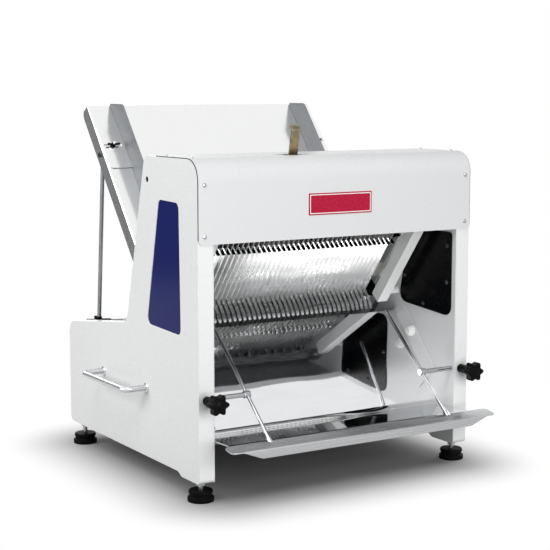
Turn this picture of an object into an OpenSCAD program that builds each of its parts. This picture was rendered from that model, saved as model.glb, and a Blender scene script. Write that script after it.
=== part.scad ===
// Bread slicer machine. Two hollow side frames carry an inclined infeed chute, two blade
// frames that saw against each other, a polished outfeed slide and the drive in the base.
// Lengths in mm. X runs across the machine, Y to the rear, Z up from the floor.

/* [Side frames] */
// Width over the two side frames
frame_w = 650; // [620:1:700]
// Depth of a side frame, column front to base rear
frame_d = 606; // [590:1:640]
// Height of the side frames' flat top
frame_h = 660; // [650:1:690]
// Thickness of a side frame
side_t = 34; // [30:1:40]
// Sheet thickness of the side frame skins
skin_t = 2; // [1.5:0.1:2.5]
// Height of the base's underside
ground_gap = 47; // [44:1:52]
// How far the front foot box hangs below the base's underside
foot_box_drop = 8; // [5:1:10]
// Length of the front foot box
foot_box_len = 72; // [60:1:90]
// Depth of the column at its flat top
column_top_d = 220; // [214:1:230]
// Depth at the corner between column and base
ledge_y = 309; // [305:1:318]
// Height of the corner between column and base
ledge_z = 312; // [305:1:318]
// Height of the base at its rear edge
base_rear_h = 274; // [268:1:285]

/* [Windows and access plates] */
// Height of the window's lower edge
window_z = 318; // [312:1:330]
// Distance of the window's upper edge below the machine's top
window_drop = 84; // [80:1:110]
// Distance of the window from the column's front edge
window_y = 72; // [64:1:84]
// Thickness of the navy window insert
insert_t = 4; // [3:0.5:6]
// How far the insert reaches past the window's edge
insert_lap = 12; // [8:1:16]
// Thickness of the black access plate on the inner side
plate_t = 2; // [1.5:0.1:2.4]

/* [Head cover] */
// Sheet thickness of the head cover
cover_t = 2; // [1.5:0.1:2.5]
// Drop of the cover below the machine's top
cover_h = 160; // [146:1:164]
// Depth of the cover's flat top
cover_d = 170; // [162:1:178]
// Bend radius of the cover's front edge, inside
cover_bend = 40; // [30:1:48]
// Width of the badge plate
badge_w = 150; // [120:1:180]
// Height of the badge plate
badge_h = 43; // [36:1:50]

/* [Infeed chute] */
// Depth of the chute's upper edge
chute_top_y = 569; // [562:1:576]
// Height of the chute's upper edge
chute_top_z = 757; // [750:1:764]
// Sheet thickness of the chute
chute_t = 2; // [1.5:0.1:2.5]
// Depth of the chute's side flange
flange_h = 32; // [28:1:36]
// Distance of the strut's screw from the chute's upper edge
strut_at = 126; // [120:1:135]
// Distance of the strut's foot behind its screw
strut_back = 34; // [28:1:38]

/* [Loaf guides] */
// Height of the loaf guide above the floor
guide_h = 53; // [46:1:60]
// Distance of the guide plate from the side frame
guide_gap = 56; // [55:0.5:58]
// Distance of the wing nut from the side frame
nut_gap = 28; // [26:0.5:30]
// Distance of the wing nut from the chute's upper edge
nut_at = 114; // [100:1:130]

/* [Blades and combs] */
// Distance between neighbouring blades, the slice thickness
pitch = 12; // [11.8:0.1:12]
// Width of a blade
blade_w = 12; // [10:0.5:13]
// Thickness of a blade
blade_t = 1; // [0.8:0.1:1.2]
// Slope of the blades in degrees
blade_angle = 52; // [51:0.5:53]
// Height of the upper bar along the blade, as a share of the height from chute floor to top
bar_share = 0.9; // [0.89:0.005:0.91]
// Depth of the lower bar below the chute floor, along the blade
bar_low = 125; // [120:1:130]
// Opening under the hold-down comb, as a share of the height from chute floor to top
hold_share = 0.48; // [0.45:0.005:0.5]
// Slope of the hold-down comb in degrees
comb_angle = 44; // [42:0.5:46]
// Width of a finger of the hold-down comb
upper_finger = 4.5; // [4:0.1:6]
// Width of a finger of the lower comb
lower_finger = 7.5; // [6:0.1:8.5]

/* [Drive] */
// Throw of the eccentrics
throw = 16; // [14:0.5:17]
// Distance of the crankshaft below the chute floor, along the blade
crank_low = 291; // [288:1:294]
// Radius of the crankshaft
crank_r = 12; // [10:0.5:14]
// Radius of an eccentric
ecc_r = 34; // [33:0.5:36]
// Pitch radius of the driven pulley
pulley_r = 60; // [56:1:62]
// Pitch radius of the motor pulley
drive_r = 30; // [26:1:32]
// Radius of the motor's body
motor_r = 47; // [42:1:48]
// Depth of the motor's axis
motor_y = 532; // [530:1:534]

/* [Outfeed] */
// Slope of the outfeed slide in degrees
slide_angle = 48; // [47:0.5:49]
// Length of the slide's straight run
slide_len = 230; // [224:1:236]
// Radius of the curve at the slide's foot
slide_bend = 30; // [26:1:34]
// Turn of the curve at the slide's foot in degrees
slide_turn = 50; // [48:1:52]
// Length of the slide's tail, from its curve towards the lip bar
slide_tail = 82; // [76:1:84]
// Sheet thickness of the slide
slide_t = 2; // [1.5:0.1:2.5]
// Height of the rack's tilting axis
rack_z = 202; // [198:1:206]
// Depth of the rack's tilting axis
rack_y = 10; // [9:0.5:11]
// Slope of the rack's rods in degrees
rack_angle = 41; // [40.5:0.5:41.5]
// Distance of the rack's rods from the side frame
rack_gap = 78; // [75:1:83]
// Radius of the rack's rods
rack_rod_r = 3.5; // [3:0.5:4]
// How much narrower than the machine the lip bar is
lip_short = 20; // [10:1:50]
// How far the lip bar stands in front of the columns
lip_reach = 112; // [108:1:118]

/* [Handles, knobs and feet] */
// Height of the carry handles
handle_z = 190; // [180:1:210]
// Distance between the two feet of a carry handle
handle_w = 204; // [180:1:220]
// Clear reach of a carry handle, side frame to grip axis
handle_reach = 49; // [40:1:60]
// Radius of the carry handle's rod
handle_r = 6; // [5:0.5:7]
// Diameter of the star knobs
knob_d = 42; // [38:1:46]
// Diameter of the foot pads
foot_d = 52; // [44:1:60]
// Height of the foot pads
foot_h = 23; // [20:1:26]
// Height of the switch plate's middle
switch_z = 236; // [230:1:245]

/* [Hidden] */
$fn = 40;
half_w = frame_w / 2;
in_x = half_w - side_t;
mid_x = half_w - side_t / 2;
shift_y = (lip_reach - frame_d) / 2;
eps = 0.01;
slack = 0.05;
fit = 0.02;
clear = 0.3;
lid_t = 2;
foot_z = ground_gap - foot_box_drop;
cover_low = frame_h - cover_h;
chute_w = in_x - 0.5;
guide_x = in_x - guide_gap;
nut_x = in_x - nut_gap;
rack_x = in_x - rack_gap;
lip_w = frame_w - lip_short;
// Cutting line, where the blades cross the chute floor; the chute runs from there to its upper edge.
cut = [238.6, 349];
chute_angle = atan2(chute_top_z - cut[1], chute_top_y - cut[0]);
chute_len = norm([chute_top_y, chute_top_z] - cut);
lean = 90 - blade_angle;
rise = frame_h - cut[1];
bar_top = bar_share * rise;
hold_gap = hold_share * rise;
blade_up = [-sin(lean), cos(lean)];
blade_out = [cos(lean), sin(lean)];
rail_x = in_x - 40;
row_gap = 29;
// Blades of one frame: as many as fit between the rails at this pitch.
blades = floor(((rail_x - row_gap) * 2 / pitch + 1) / 2 + eps);
half_row = (2 * blades - 1) / 2 * pitch;
fingers = 2 * blades + 1;
bar_half = 10;
bar_off = 28;
bar_x = rail_x + 11;
rail_r = 5;
tab_t = 4;
channel_w = 26;
channel_t = 3;
channel_x = rail_x - channel_w / 2;
channel_len = bar_top - 35;
channel_mouth = bar_off - 14;
channel_web = bar_off + 11;
spacer_r = 8;
spacer_zs = [20, channel_len - 30];
shoe_len = 40;
shoe_w = channel_w - 2 * channel_t - 0.6;
shoe_zs = [0.1 * channel_len, 0.725 * channel_len];
lug_t = 6;
wrist_r = 6;
rod_t = 12;
rod_a_x = in_x - 86;
rod_b_x = in_x - 121;
shaft_pos = [75, frame_h - 20];
shaft_r = 7;
wrist = -bar_low - 56;
slide_top = cut + [-34, -43];
hold_pos = cut + hold_gap * blade_up;
crank_pos = cut - crank_low * blade_up;
strut_pos = [chute_top_y - strut_at * cos(chute_angle) + flange_h / 2 * sin(chute_angle),
  chute_top_z - strut_at * sin(chute_angle) - flange_h / 2 * cos(chute_angle)];
tie_pos = [column_top_d - 11, frame_h - 47];
clear_row = half_row + 12;
stub_r = 5;
stud_r = 4;
handle_y = 324;
foot_ys = [26, frame_d - 38];
lip_rear = 80;
lip_t = 3;
lip_tilt = 8;
lip_z = rack_z - (rack_y + lip_rear) * tan(rack_angle) + 4;
button_ys = [86, 126];
belt_x = in_x - 53;
belt_w = 9.4;
belt_h = 7;
screw_r = 2.4;
bolt_r = 3;
window_top = frame_h - window_drop;
window_rear = 89;
window_pts = [[window_y, window_z], [column_rear(window_z + 5) - window_rear, window_z + 5],
  [column_rear(window_top) - window_rear + 8, window_top], [window_y + 5, window_top - 2]];
plate_low = 312;
plate_top = cover_low - 8;
plate_pts = [[12, plate_low], [196, plate_low + 14], [160, plate_top], [12, plate_top]];
side_pts = [[0, foot_z], [foot_box_len, foot_z], [foot_box_len + 16, ground_gap],
  [frame_d, ground_gap], [frame_d, base_rear_h], [ledge_y, ledge_z],
  [column_top_d, frame_h], [0, frame_h]];
side_radii = [4, 4, 8, 10, 28, 28, 18, cover_bend];
plate_mid = (plate_low + plate_top) / 2 - 18;
plate_screws = [[26, plate_top - 30], [26, plate_mid], [107, plate_low + 17], [174, plate_mid],
  [152, plate_top - 30]];
head_r = 4.4;
head_h = 2.4;
bolt_head_r = 5.5;
bolt_head_h = 6;
access_r = 6;
foot_stud_r = 5;
pad_bore_z = 8;
button_r = 7;
switch_t = 5;
cover_screw_x = mid_x + 3;
cover_screw_zs = [frame_h - 47, cover_low + 16];
cover_screw_ys = [48, 152];
hem_d = 14;
badge_x = -4;
badge_t = 1.5;
badge_drop = 93;
lever_x = [-81, -61];
lever_t = 4;
lever_lean = 12;
lever_len = 78;
lever_tip = 12;
slot_x = [-105, -43];
slot_y = [40, 95];
tie_r = 10;
tie_thread = 20;
rim_h = 14;
guide_stud_h = 15;
strut_r = 4.5;
eye_r = 9;
floor_y = 232;
floor_lip = 25;
top_sink = 4;
guard_top = [60, 36.5];
rear_y = frame_d - 20;
louvre_w = 36;
louvre_h = 5;
louvre_xs = [-150 : 50 : 150];
louvre_zs = [120, 136, 152, 168];
gland_x = 71 - in_x;
gland_z = 92;
gland_r = 10;
comb_t = 4;
cheek_h = 30;
slide_sink = 8;
bracket_t = 10;
bracket_d = 44;
bracket_h = 42;
bracket_screw_ys = [15 - slide_len, 33 - slide_len];
bracket_screw_z = -24;
cap_pos = [-71, 17];
cap_r = 12;
cap_t = 14;
boss_h = 30;
boss_d = 20;
motor_half = 130;
motor_shaft_r = 9;
arm_x = bar_x + 5;
arm_t = 5;
arm_foot = 67;

function unit(v) = v / norm(v);
function turn(a, p, b) = sign(cross(p - a, b - p));
function inward(a, b) = [-(unit(b - a))[1], (unit(b - a))[0]];
function before(pts, i) = pts[(i + len(pts) - 1) % len(pts)];
function after(pts, i) = pts[(i + 1) % len(pts)];

// Moves every side of a counter-clockwise outline inward by d.
function inset(pts, d) = [for (i = [0 : len(pts) - 1])
  let (n1 = inward(before(pts, i), pts[i]), n2 = inward(pts[i], after(pts, i)))
  pts[i] + d * (n1 + n2) / (1 + n1 * n2)];
function inset_radii(pts, radii, d) = [for (i = [0 : len(pts) - 1])
  max(radii[i] - d * turn(before(pts, i), pts[i], after(pts, i)), 0.5)];

// Arc of radius r that rounds the corner p between its neighbours a and b.
function corner(a, p, b, r, n) =
  let (u = unit(a - p), v = unit(b - p), half = acos(u * v) / 2,
    c = p + unit(u + v) * r / sin(half),
    s = p + u * r / tan(half) - c,
    e = p + v * r / tan(half) - c,
    start = atan2(s[1], s[0]),
    sweep = (atan2(e[1], e[0]) - start + 540) % 360 - 180)
  [for (k = [0 : n]) c + r * [cos(start + sweep * k / n), sin(start + sweep * k / n)]];
function rounded(pts, radii, n = 6) = [for (i = [0 : len(pts) - 1])
  each radii[i] <= 0 ? [pts[i]] : corner(before(pts, i), pts[i], after(pts, i), radii[i], n)];
function base_line(y) = ledge_z + (y - ledge_y) * (base_rear_h - ledge_z) / (frame_d - ledge_y);
function column_rear(z) = ledge_y - (z - ledge_z) * (ledge_y - column_top_d) / (frame_h - ledge_z);

// Places children in the shared frame, whose origin is the middle of the footprint.
module placed() {
  translate([0, shift_y, 0]) children();
}

// Extrudes an outline drawn in depth and height across the machine.
module across(x0, x1) {
  translate([x0, 0, 0]) rotate([90, 0, 90]) linear_extrude(x1 - x0) children();
}

module pin_x(x0, x1, p, r) {
  translate([x0, p[0], p[1]]) rotate([0, 90, 0]) cylinder(h = x1 - x0, r = r);
}

module on_side(side) {
  mirror([side < 0 ? 1 : 0, 0, 0]) children();
}

module both_sides() {
  for (side = [-1, 1]) on_side(side) children();
}

// Chute frame: Y up along the floor from its upper edge, Z out of the floor.
module chute_space() {
  translate([0, chute_top_y, chute_top_z]) rotate([chute_angle, 0, 0]) children();
}

// Blade frame: Z up along the blades from the chute floor, Y towards the loaf.
module blade_space() {
  translate([0, cut[0], cut[1]]) rotate([lean, 0, 0]) children();
}

module slide_space() {
  translate([0, slide_top[0], slide_top[1]]) rotate([slide_angle, 0, 0]) children();
}

module pan_screw(len) {
  cylinder(h = head_h, r1 = head_r, r2 = head_r - 1);
  translate([0, 0, -len]) cylinder(h = len + eps, r = screw_r);
}

module side_frame(side) {
  pts_in = inset(side_pts, skin_t);
  on_side(side) difference() {
    across(in_x + lid_t, half_w) polygon(rounded(side_pts, side_radii));
    across(in_x, half_w - skin_t) polygon(rounded(pts_in, inset_radii(side_pts, side_radii, skin_t)));
    across(half_w - skin_t - 1, half_w + 1) polygon(rounded(window_pts, [12, 14, 12, 12]));
    pin_x(in_x, half_w + 1, [rack_y, rack_z], stub_r + slack);
    pin_x(in_x, half_w + 1, tie_pos, access_r);
    translate([mid_x, -1, rack_z]) rotate([-90, 0, 0]) cylinder(h = skin_t + 2, r = stud_r + slack);
    for (y = foot_ys) translate([mid_x, y, foot_z - 1])
      cylinder(h = foot_box_drop + 4, r = foot_stud_r + 0.1);
    if (side > 0) for (y = button_ys)
      pin_x(half_w - skin_t - 1, half_w + 1, [y, switch_z], button_r + 2);
  }
}

module inner_cover(side) {
  on_side(side) difference() {
    across(in_x, in_x + lid_t) polygon(rounded(side_pts, side_radii));
    pin_x(in_x - 1, half_w, [rack_y, rack_z], stub_r + slack);
    pin_x(in_x - 1, half_w, shaft_pos, shaft_r + slack);
    pin_x(in_x - 1, half_w, tie_pos, bolt_r + slack);
  }
}

module window(side) {
  on_side(side) across(half_w - skin_t - insert_t, half_w - skin_t)
    polygon(rounded(inset(window_pts, -insert_lap), [18, 18, 18, 18]));
}

module access_plate(side) {
  on_side(side) difference() {
    across(in_x - plate_t, in_x) polygon(rounded(plate_pts, [20, 24, 8, 8]));
    for (p = plate_screws) pin_x(in_x - plate_t - 1, in_x + 1, p, screw_r + slack);
  }
}

module side_frame_left() color("white") placed() side_frame(-1);
module side_frame_right() color("white") placed() side_frame(1);
module inner_cover_left() color("white") placed() inner_cover(-1);
module inner_cover_right() color("white") placed() inner_cover(1);
module window_left() color("midnightblue") placed() window(-1);
module window_right() color("midnightblue") placed() window(1);
module access_plate_left() color("black") placed() access_plate(-1);
module access_plate_right() color("black") placed() access_plate(1);

module head_cover() {
  top = frame_h + cover_t;
  profile = [[-cover_t, cover_low], [0, cover_low], [0, frame_h], [cover_d, frame_h],
    [cover_d, top], [-cover_t, top]];
  color("gainsboro") placed() difference() {
    union() {
      across(-half_w + 1, half_w - 1)
        polygon(rounded(profile, [0, 0, cover_bend, 0, 0, cover_bend + cover_t]));
      translate([-in_x + 1, -eps, cover_low]) cube([2 * in_x - 2, hem_d, cover_t]);
    }
    translate([slot_x[0], slot_y[0], frame_h - 1])
      cube([slot_x[1] - slot_x[0], slot_y[1] - slot_y[0], cover_t + 2]);
    both_sides() {
      for (z = cover_screw_zs) translate([cover_screw_x, 1, z]) rotate([90, 0, 0])
        cylinder(h = cover_t + 2, r = screw_r + slack);
      for (y = cover_screw_ys) translate([cover_screw_x, y, frame_h - 1])
        cylinder(h = cover_t + 2, r = screw_r + slack);
    }
  }
}

module badge_plate() {
  color("crimson") placed()
    translate([badge_x - badge_w / 2, -cover_t - badge_t, frame_h - badge_drop - badge_h / 2])
      cube([badge_w, badge_t, badge_h]);
}

module panel_screws() {
  color("silver") placed() both_sides() {
    for (z = cover_screw_zs) translate([cover_screw_x, -cover_t, z]) rotate([90, 0, 0])
      pan_screw(cover_t);
    for (y = cover_screw_ys) translate([cover_screw_x, y, frame_h + cover_t]) pan_screw(cover_t);
    for (p = plate_screws) translate([in_x - plate_t, p[0], p[1]]) rotate([0, -90, 0])
      pan_screw(plate_t);
    slide_space() for (y = bracket_screw_ys) translate([in_x - bracket_t, y, bracket_screw_z])
      rotate([0, -90, 0]) pan_screw(bracket_t - 2);
  }
}

module tie_bar() {
  color("silver") placed() difference() {
    pin_x(-in_x, in_x, tie_pos, tie_r);
    both_sides() pin_x(in_x - tie_thread - 2, in_x + 1, tie_pos, bolt_r + slack);
  }
}

module frame_bolts() {
  color("dimgray") placed() both_sides() {
    pin_x(in_x - tie_thread, in_x + lid_t + eps, tie_pos, bolt_r);
    pin_x(in_x + lid_t, in_x + lid_t + bolt_head_h, tie_pos, bolt_head_r);
    pin_x(chute_w - chute_t - 2 * strut_r, chute_w + eps, strut_pos, bolt_r);
    pin_x(chute_w, chute_w + bolt_head_h / 2, strut_pos, bolt_head_r);
  }
}

module infeed_chute() {
  run = chute_len - 48;
  color("gainsboro") placed() chute_space() {
    difference() {
      union() {
        translate([-chute_w, -run, -chute_t]) cube([2 * chute_w, run, chute_t]);
        translate([-chute_w + 2 * chute_t, -chute_t, -rim_h])
          cube([2 * chute_w - 4 * chute_t, chute_t, rim_h]);
        both_sides() across(chute_w - chute_t, chute_w)
          polygon([[-run, 0], [-run, -flange_h], [rim_h - flange_h, -flange_h], [0, -rim_h], [0, 0]]);
      }
      both_sides() pin_x(chute_w - chute_t - 1, chute_w + 1, [-strut_at, -flange_h / 2], bolt_r + slack);
    }
    both_sides() translate([nut_x, -nut_at, -eps]) cylinder(h = guide_stud_h, r = bolt_r);
  }
}

// Rods inside the chute's flanges, leaning from the base top to the flange screws.
module chute_struts() {
  x = chute_w - chute_t - strut_r;
  rest = 1.4;
  foot_y = strut_pos[0] + strut_back;
  foot_z = base_line(foot_y) - top_sink + rest;
  height = strut_pos[1] - foot_z;
  color("dimgray") placed() both_sides() difference() {
    union() {
      translate([x, foot_y, foot_z]) rotate([atan(strut_back / height), 0, 0])
        cylinder(h = norm([strut_back, height]), r = strut_r);
      pin_x(x - strut_r + 0.5, x + strut_r - 0.1, strut_pos, eye_r);
    }
    pin_x(x - 8, x + 8, strut_pos, bolt_r + slack);
  }
}

module base_floor() {
  w = in_x - clear;
  color("silver") placed() {
    translate([-w, floor_y, ground_gap]) cube([2 * w, frame_d - floor_y - 4, lid_t]);
    both_sides() translate([w - lid_t, floor_y, ground_gap])
      cube([lid_t, rear_y - floor_y - clear, floor_lip]);
  }
}

module base_top() {
  y0 = ledge_y + 28;
  y1 = frame_d - 16;
  color("gainsboro") placed() across(-in_x + clear, in_x - clear)
    polygon([[y0, base_line(y0) - top_sink - lid_t], [y1, base_line(y1) - top_sink - lid_t],
      [y1, base_line(y1) - top_sink], [y0, base_line(y0) - top_sink]]);
}

module rear_panel() {
  low = ground_gap + lid_t;
  high = base_line(rear_y) - top_sink - lid_t - 0.5;
  color("gainsboro") placed() difference() {
    translate([-in_x + clear, rear_y, low]) cube([2 * (in_x - clear), lid_t, high - low]);
    for (x = louvre_xs) for (z = louvre_zs)
      translate([x - louvre_w / 2, rear_y - 1, z]) cube([louvre_w, lid_t + 2, louvre_h]);
    translate([gland_x, rear_y - 1, gland_z]) rotate([-90, 0, 0])
      cylinder(h = lid_t + 2, r = gland_r + slack);
  }
}

module rear_guard() {
  y0 = ledge_y + 29;
  low = base_line(y0) - top_sink;
  top = cut + guard_top;
  color("gainsboro") placed() across(-in_x + 6, in_x - 6)
    polygon([[y0, low], [y0 + lid_t, low], top + [1, 0.5], top - [1, 0.5]]);
}

module cord_gland() {
  nut_r = gland_r + 4;
  nut_h = 8;
  bore = 4.5;
  color("black") placed() translate([gland_x, rear_y, gland_z]) rotate([-90, 0, 0]) difference() {
    union() {
      translate([0, 0, -12]) cylinder(h = 18, r = gland_r);
      translate([0, 0, lid_t]) cylinder(h = nut_h + 1, r = nut_r, $fn = 6);
      translate([0, 0, -nut_h]) cylinder(h = nut_h, r = nut_r, $fn = 6);
      translate([0, 0, lid_t + nut_h]) cylinder(h = nut_h, r1 = gland_r + 1, r2 = gland_r - 2);
    }
    translate([0, 0, -14]) cylinder(h = 40, r = bore);
  }
}

module foot_studs() {
  color("silver") placed() both_sides() for (i = [0, 1]) {
    seat = i == 0 ? foot_z : ground_gap;
    nut_r = foot_stud_r + 4;
    nut_h = 7.9;
    translate([mid_x, foot_ys[i], pad_bore_z]) cylinder(h = seat + 12, r = foot_stud_r);
    translate([mid_x, foot_ys[i], seat - nut_h - 0.1]) cylinder(h = nut_h, r = nut_r, $fn = 6);
    translate([mid_x, foot_ys[i], seat + skin_t + 0.1]) cylinder(h = nut_h - 1, r = nut_r, $fn = 6);
  }
}

module foot_pads() {
  r = foot_d / 2;
  color("black") placed() both_sides() for (y = foot_ys) translate([mid_x, y, 0]) difference() {
    rotate_extrude() polygon([[0, 0], [r - 1.5, 0], [r, 1.5], [r, 9], [r - 4, 11], [r - 4, 16],
      [r - 2, 17], [r - 3, foot_h], [0, foot_h]]);
    translate([0, 0, pad_bore_z]) cylinder(h = foot_h, r = foot_stud_r + fit);
  }
}

// U-shaped rod with bent corners, welded to the side frame's outer skin.
module carry_handle(side) {
  bend = 14;
  collar_h = 3;
  half = handle_w / 2;
  on_side(side) translate([half_w, handle_y, handle_z]) {
    for (s = [-1, 1]) {
      translate([0, s * half, 0]) rotate([0, 90, 0]) cylinder(h = handle_reach - bend, r = handle_r);
      translate([0, s * half, 0]) rotate([0, 90, 0]) cylinder(h = collar_h, r = handle_r + 4);
      translate([handle_reach - bend, s * (half - bend), 0]) rotate([0, 0, s > 0 ? 0 : -90])
        rotate_extrude(angle = 90) translate([bend, 0]) circle(handle_r);
    }
    translate([handle_reach, bend - half, 0]) rotate([-90, 0, 0])
      cylinder(h = handle_w - 2 * bend, r = handle_r);
  }
}

module carry_handle_left() color("silver") placed() carry_handle(-1);
module carry_handle_right() color("silver") placed() carry_handle(1);

// U-section guides beside the blades; their webs face away from the blades.
module guide_channels() {
  color("white") placed() blade_space() both_sides() for (s = [-1, 1])
    mirror([0, s < 0 ? 1 : 0, 0]) {
      deep = channel_web - channel_mouth + eps;
      translate([channel_x, channel_web, 0]) cube([channel_w, channel_t, channel_len]);
      for (x = [channel_x, channel_x + channel_w - channel_t])
        translate([x, channel_mouth, 0]) cube([channel_t, deep, channel_len]);
      for (z = spacer_zs) pin_x(channel_x + channel_w - 2, in_x, [bar_off, z], spacer_r);
    }
}

module lower_comb() {
  root = 12;
  back = 75;
  tip = -42;
  color("silver") placed() chute_space() translate([0, -chute_len, -chute_t - comb_t]) {
    translate([-clear_row - 3, root, 0]) cube([2 * clear_row + 6, back - root, comb_t]);
    for (i = [0 : fingers - 1]) translate([(i - blades) * pitch, 0, 0]) {
      translate([-lower_finger / 2, tip, 0]) cube([lower_finger, root - tip + 1, comb_t]);
      translate([0, tip, 0]) cylinder(h = comb_t, r = lower_finger / 2, $fn = 16);
    }
  }
}

// Side view of the slide, d below its upper face.
function slide_line(d, steps = 12) =
  let (bend_mid = [-slide_len, slide_bend - slide_sink], r = slide_bend + d,
    last = bend_mid - r * [sin(slide_turn), cos(slide_turn)])
  concat([[0, -slide_sink - d]],
    [for (k = [0 : steps]) let (a = slide_turn * k / steps) bend_mid - r * [sin(a), cos(a)]],
    [last + slide_tail * [-cos(slide_turn), sin(slide_turn)]]);

// Polished sheet: a steep run, a tight curve at its foot and a nearly level tail towards the lip bar.
module outfeed_slide() {
  under = slide_line(slide_t);
  last = len(under) - 1;
  low = -slide_sink - slide_t;
  from = 50 - slide_len;
  color("silver") placed() slide_space() {
    across(-chute_w, chute_w) polygon(concat(slide_line(0), [for (k = [0 : last]) under[last - k]]));
    both_sides() translate([chute_w - slide_t, from, low]) cube([slide_t, -12 - from, cheek_h - low]);
  }
}

module slide_brackets() {
  y0 = 4 - slide_len;
  y1 = y0 + bracket_d;
  low = -slide_t - bracket_h;
  high = -slide_sink - slide_t - clear;
  color("white") placed() slide_space() both_sides() difference() {
    across(in_x - bracket_t, in_x)
      polygon([[y0, low], [y1, low], [y1, high], [y0, high]]);
    for (y = bracket_screw_ys)
      pin_x(in_x - bracket_t - 1, in_x - 1, [y, bracket_screw_z], screw_r + slack);
  }
}

module slide_caps() {
  color("white") placed() slide_space() both_sides() {
    x = chute_w - slide_t;
    pin_x(x - cap_t + 5, x, cap_pos, cap_r);
    pin_x(x - cap_t, x - cap_t + 5 + eps, cap_pos, cap_r - 3);
  }
}

module clamp_bosses() {
  color("silver") placed() both_sides() difference() {
    translate([in_x + lid_t, skin_t, rack_z - boss_h / 2])
      cube([side_t - skin_t - lid_t, boss_d, boss_h]);
    pin_x(in_x, half_w, [rack_y, rack_z], stub_r + slack);
    translate([mid_x, 0, rack_z]) rotate([-90, 0, 0]) cylinder(h = rack_y, r = stud_r + slack);
  }
}

module motor() {
  c = [motor_y, crank_pos[1]];
  hub_r = 20;
  foot_w = 80;
  foot_t = 24;
  box = [90, 60, 40];
  color("slategray") placed() {
    difference() {
      union() {
        pin_x(-motor_half, motor_half, c, motor_r);
        pin_x(motor_half - eps, motor_half + 10, c, motor_r - 8);
        pin_x(motor_half + 10 - eps, motor_half + 20, c, hub_r);
        for (x = [-80, 60]) translate([x, motor_y - foot_w / 2, ground_gap + lid_t])
          cube([foot_t, foot_w, c[1] - motor_r - ground_gap + foot_t / 2]);
        translate([-50, motor_y - box[1] / 2, c[1] + motor_r - 8]) cube(box);
      }
      pin_x(motor_half - 20, motor_half + 21, c, motor_shaft_r + slack);
    }
  }
}

module crank_bearings() {
  hub_w = 26;
  flange_w = 7;
  color("dimgray") placed() both_sides() difference() {
    union() {
      pin_x(in_x - hub_w, in_x, crank_pos, crank_r + 14);
      pin_x(in_x - flange_w, in_x, crank_pos, crank_r + 24);
    }
    pin_x(in_x - hub_w - 1, in_x - 3, crank_pos, crank_r + slack);
  }
}

module drive_belt() {
  gap = motor_y - crank_pos[0];
  r1 = pulley_r - belt_h / 2;
  r2 = drive_r - belt_h / 2;
  color("black") placed() translate([belt_x - belt_w / 2, crank_pos[0], crank_pos[1]])
    rotate([90, 0, 90]) linear_extrude(belt_w) difference() {
      hull() {
        circle(r1 + belt_h);
        translate([gap, 0]) circle(r2 + belt_h);
      }
      hull() {
        circle(r1);
        translate([gap, 0]) circle(r2);
      }
    }
}

module switch_plate() {
  mid = (button_ys[0] + button_ys[1]) / 2;
  wide = 90;
  high = 56;
  color("gray") placed() difference() {
    translate([half_w, mid - wide / 2, switch_z - high / 2]) cube([switch_t, wide, high]);
    for (y = button_ys) pin_x(half_w - 1, half_w + switch_t + 1, [y, switch_z], button_r + slack);
  }
}

// One blade frame: two bars with a tab beside every blade, two rails and two drive lugs.
module blade_frame(first, lug_x) {
  for (z = [bar_top, -bar_low]) {
    translate([-bar_x, -bar_off - bar_half, z - bar_half])
      cube([2 * bar_x, 2 * bar_half, 2 * bar_half]);
    for (i = [0 : blades - 1])
      translate([first + 2 * pitch * i + blade_t / 2, -bar_off + bar_half - eps, z - bar_half])
        cube([tab_t, bar_off - bar_half + blade_w / 2 - 1, 2 * bar_half]);
  }
  both_sides() {
    translate([rail_x, -bar_off, bar_half + 0.1 - bar_low])
      cylinder(h = bar_top + bar_low - 2 * bar_half - 0.2, r = rail_r);
    across(lug_x, lug_x + lug_t) difference() {
      polygon([[-bar_off - 8, -bar_low - 5], [-bar_off - 8, -bar_low - 24], [-11, wrist - 11],
        [11, wrist - 11], [13, wrist + 8], [-bar_off + 9, -bar_low - 5]]);
      translate([0, wrist]) circle(wrist_r + slack);
    }
  }
}

module blade_row(first) {
  low = -bar_low - bar_half + 1;
  high = bar_top + bar_half - 1;
  for (i = [0 : blades - 1]) translate([first + 2 * pitch * i - blade_t / 2, -blade_w / 2, low])
    cube([blade_t, blade_w, high - low]);
}

module guide_shoes() {
  back = channel_web - clear;
  both_sides() for (z = shoe_zs) difference() {
    translate([rail_x - shoe_w / 2, -back, z]) cube([shoe_w, 22, shoe_len]);
    translate([rail_x, -bar_off, z - 1]) cylinder(h = shoe_len + 2, r = rail_r + fit);
  }
}

module blade_frame_a() {
  color("silver") placed() blade_space() blade_frame(-half_row, rod_a_x + rod_t / 2 + 0.5);
}
module blades_a() color("gainsboro") placed() blade_space() blade_row(-half_row);
module guide_shoes_a() color("ivory") placed() blade_space() guide_shoes();
module blade_frame_b() {
  color("silver") placed() blade_space() mirror([0, 1, 0])
    blade_frame(pitch - half_row, rod_b_x + rod_t / 2 + 0.5);
}
module blades_b() color("gainsboro") placed() blade_space() blade_row(pitch - half_row);
module guide_shoes_b() color("ivory") placed() blade_space() mirror([0, 1, 0]) guide_shoes();

module crankshaft() {
  color("silver") placed() pin_x(-in_x + 5, in_x - 5, crank_pos, crank_r);
}

module eccentric(x, side) {
  difference() {
    pin_x(x - 7, x + 7, crank_pos + side * throw * blade_out, ecc_r);
    pin_x(x - 8, x + 8, crank_pos, crank_r + fit);
  }
}

module eccentrics() {
  color("gray") placed() both_sides() {
    eccentric(rod_a_x, 1);
    eccentric(rod_b_x, -1);
  }
}

module grooved_pulley(r, bore) {
  rotate([0, 90, 0]) difference() {
    translate([0, 0, -10]) cylinder(h = 20, r = r + 2, $fn = 64);
    difference() {
      translate([0, 0, -belt_w / 2 - clear]) cylinder(h = belt_w + 2 * clear, r = r + 4, $fn = 64);
      translate([0, 0, -belt_w]) cylinder(h = 2 * belt_w, r = r - belt_h / 2 - clear, $fn = 64);
    }
    translate([0, 0, -11]) cylinder(h = 22, r = bore);
  }
}

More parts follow.
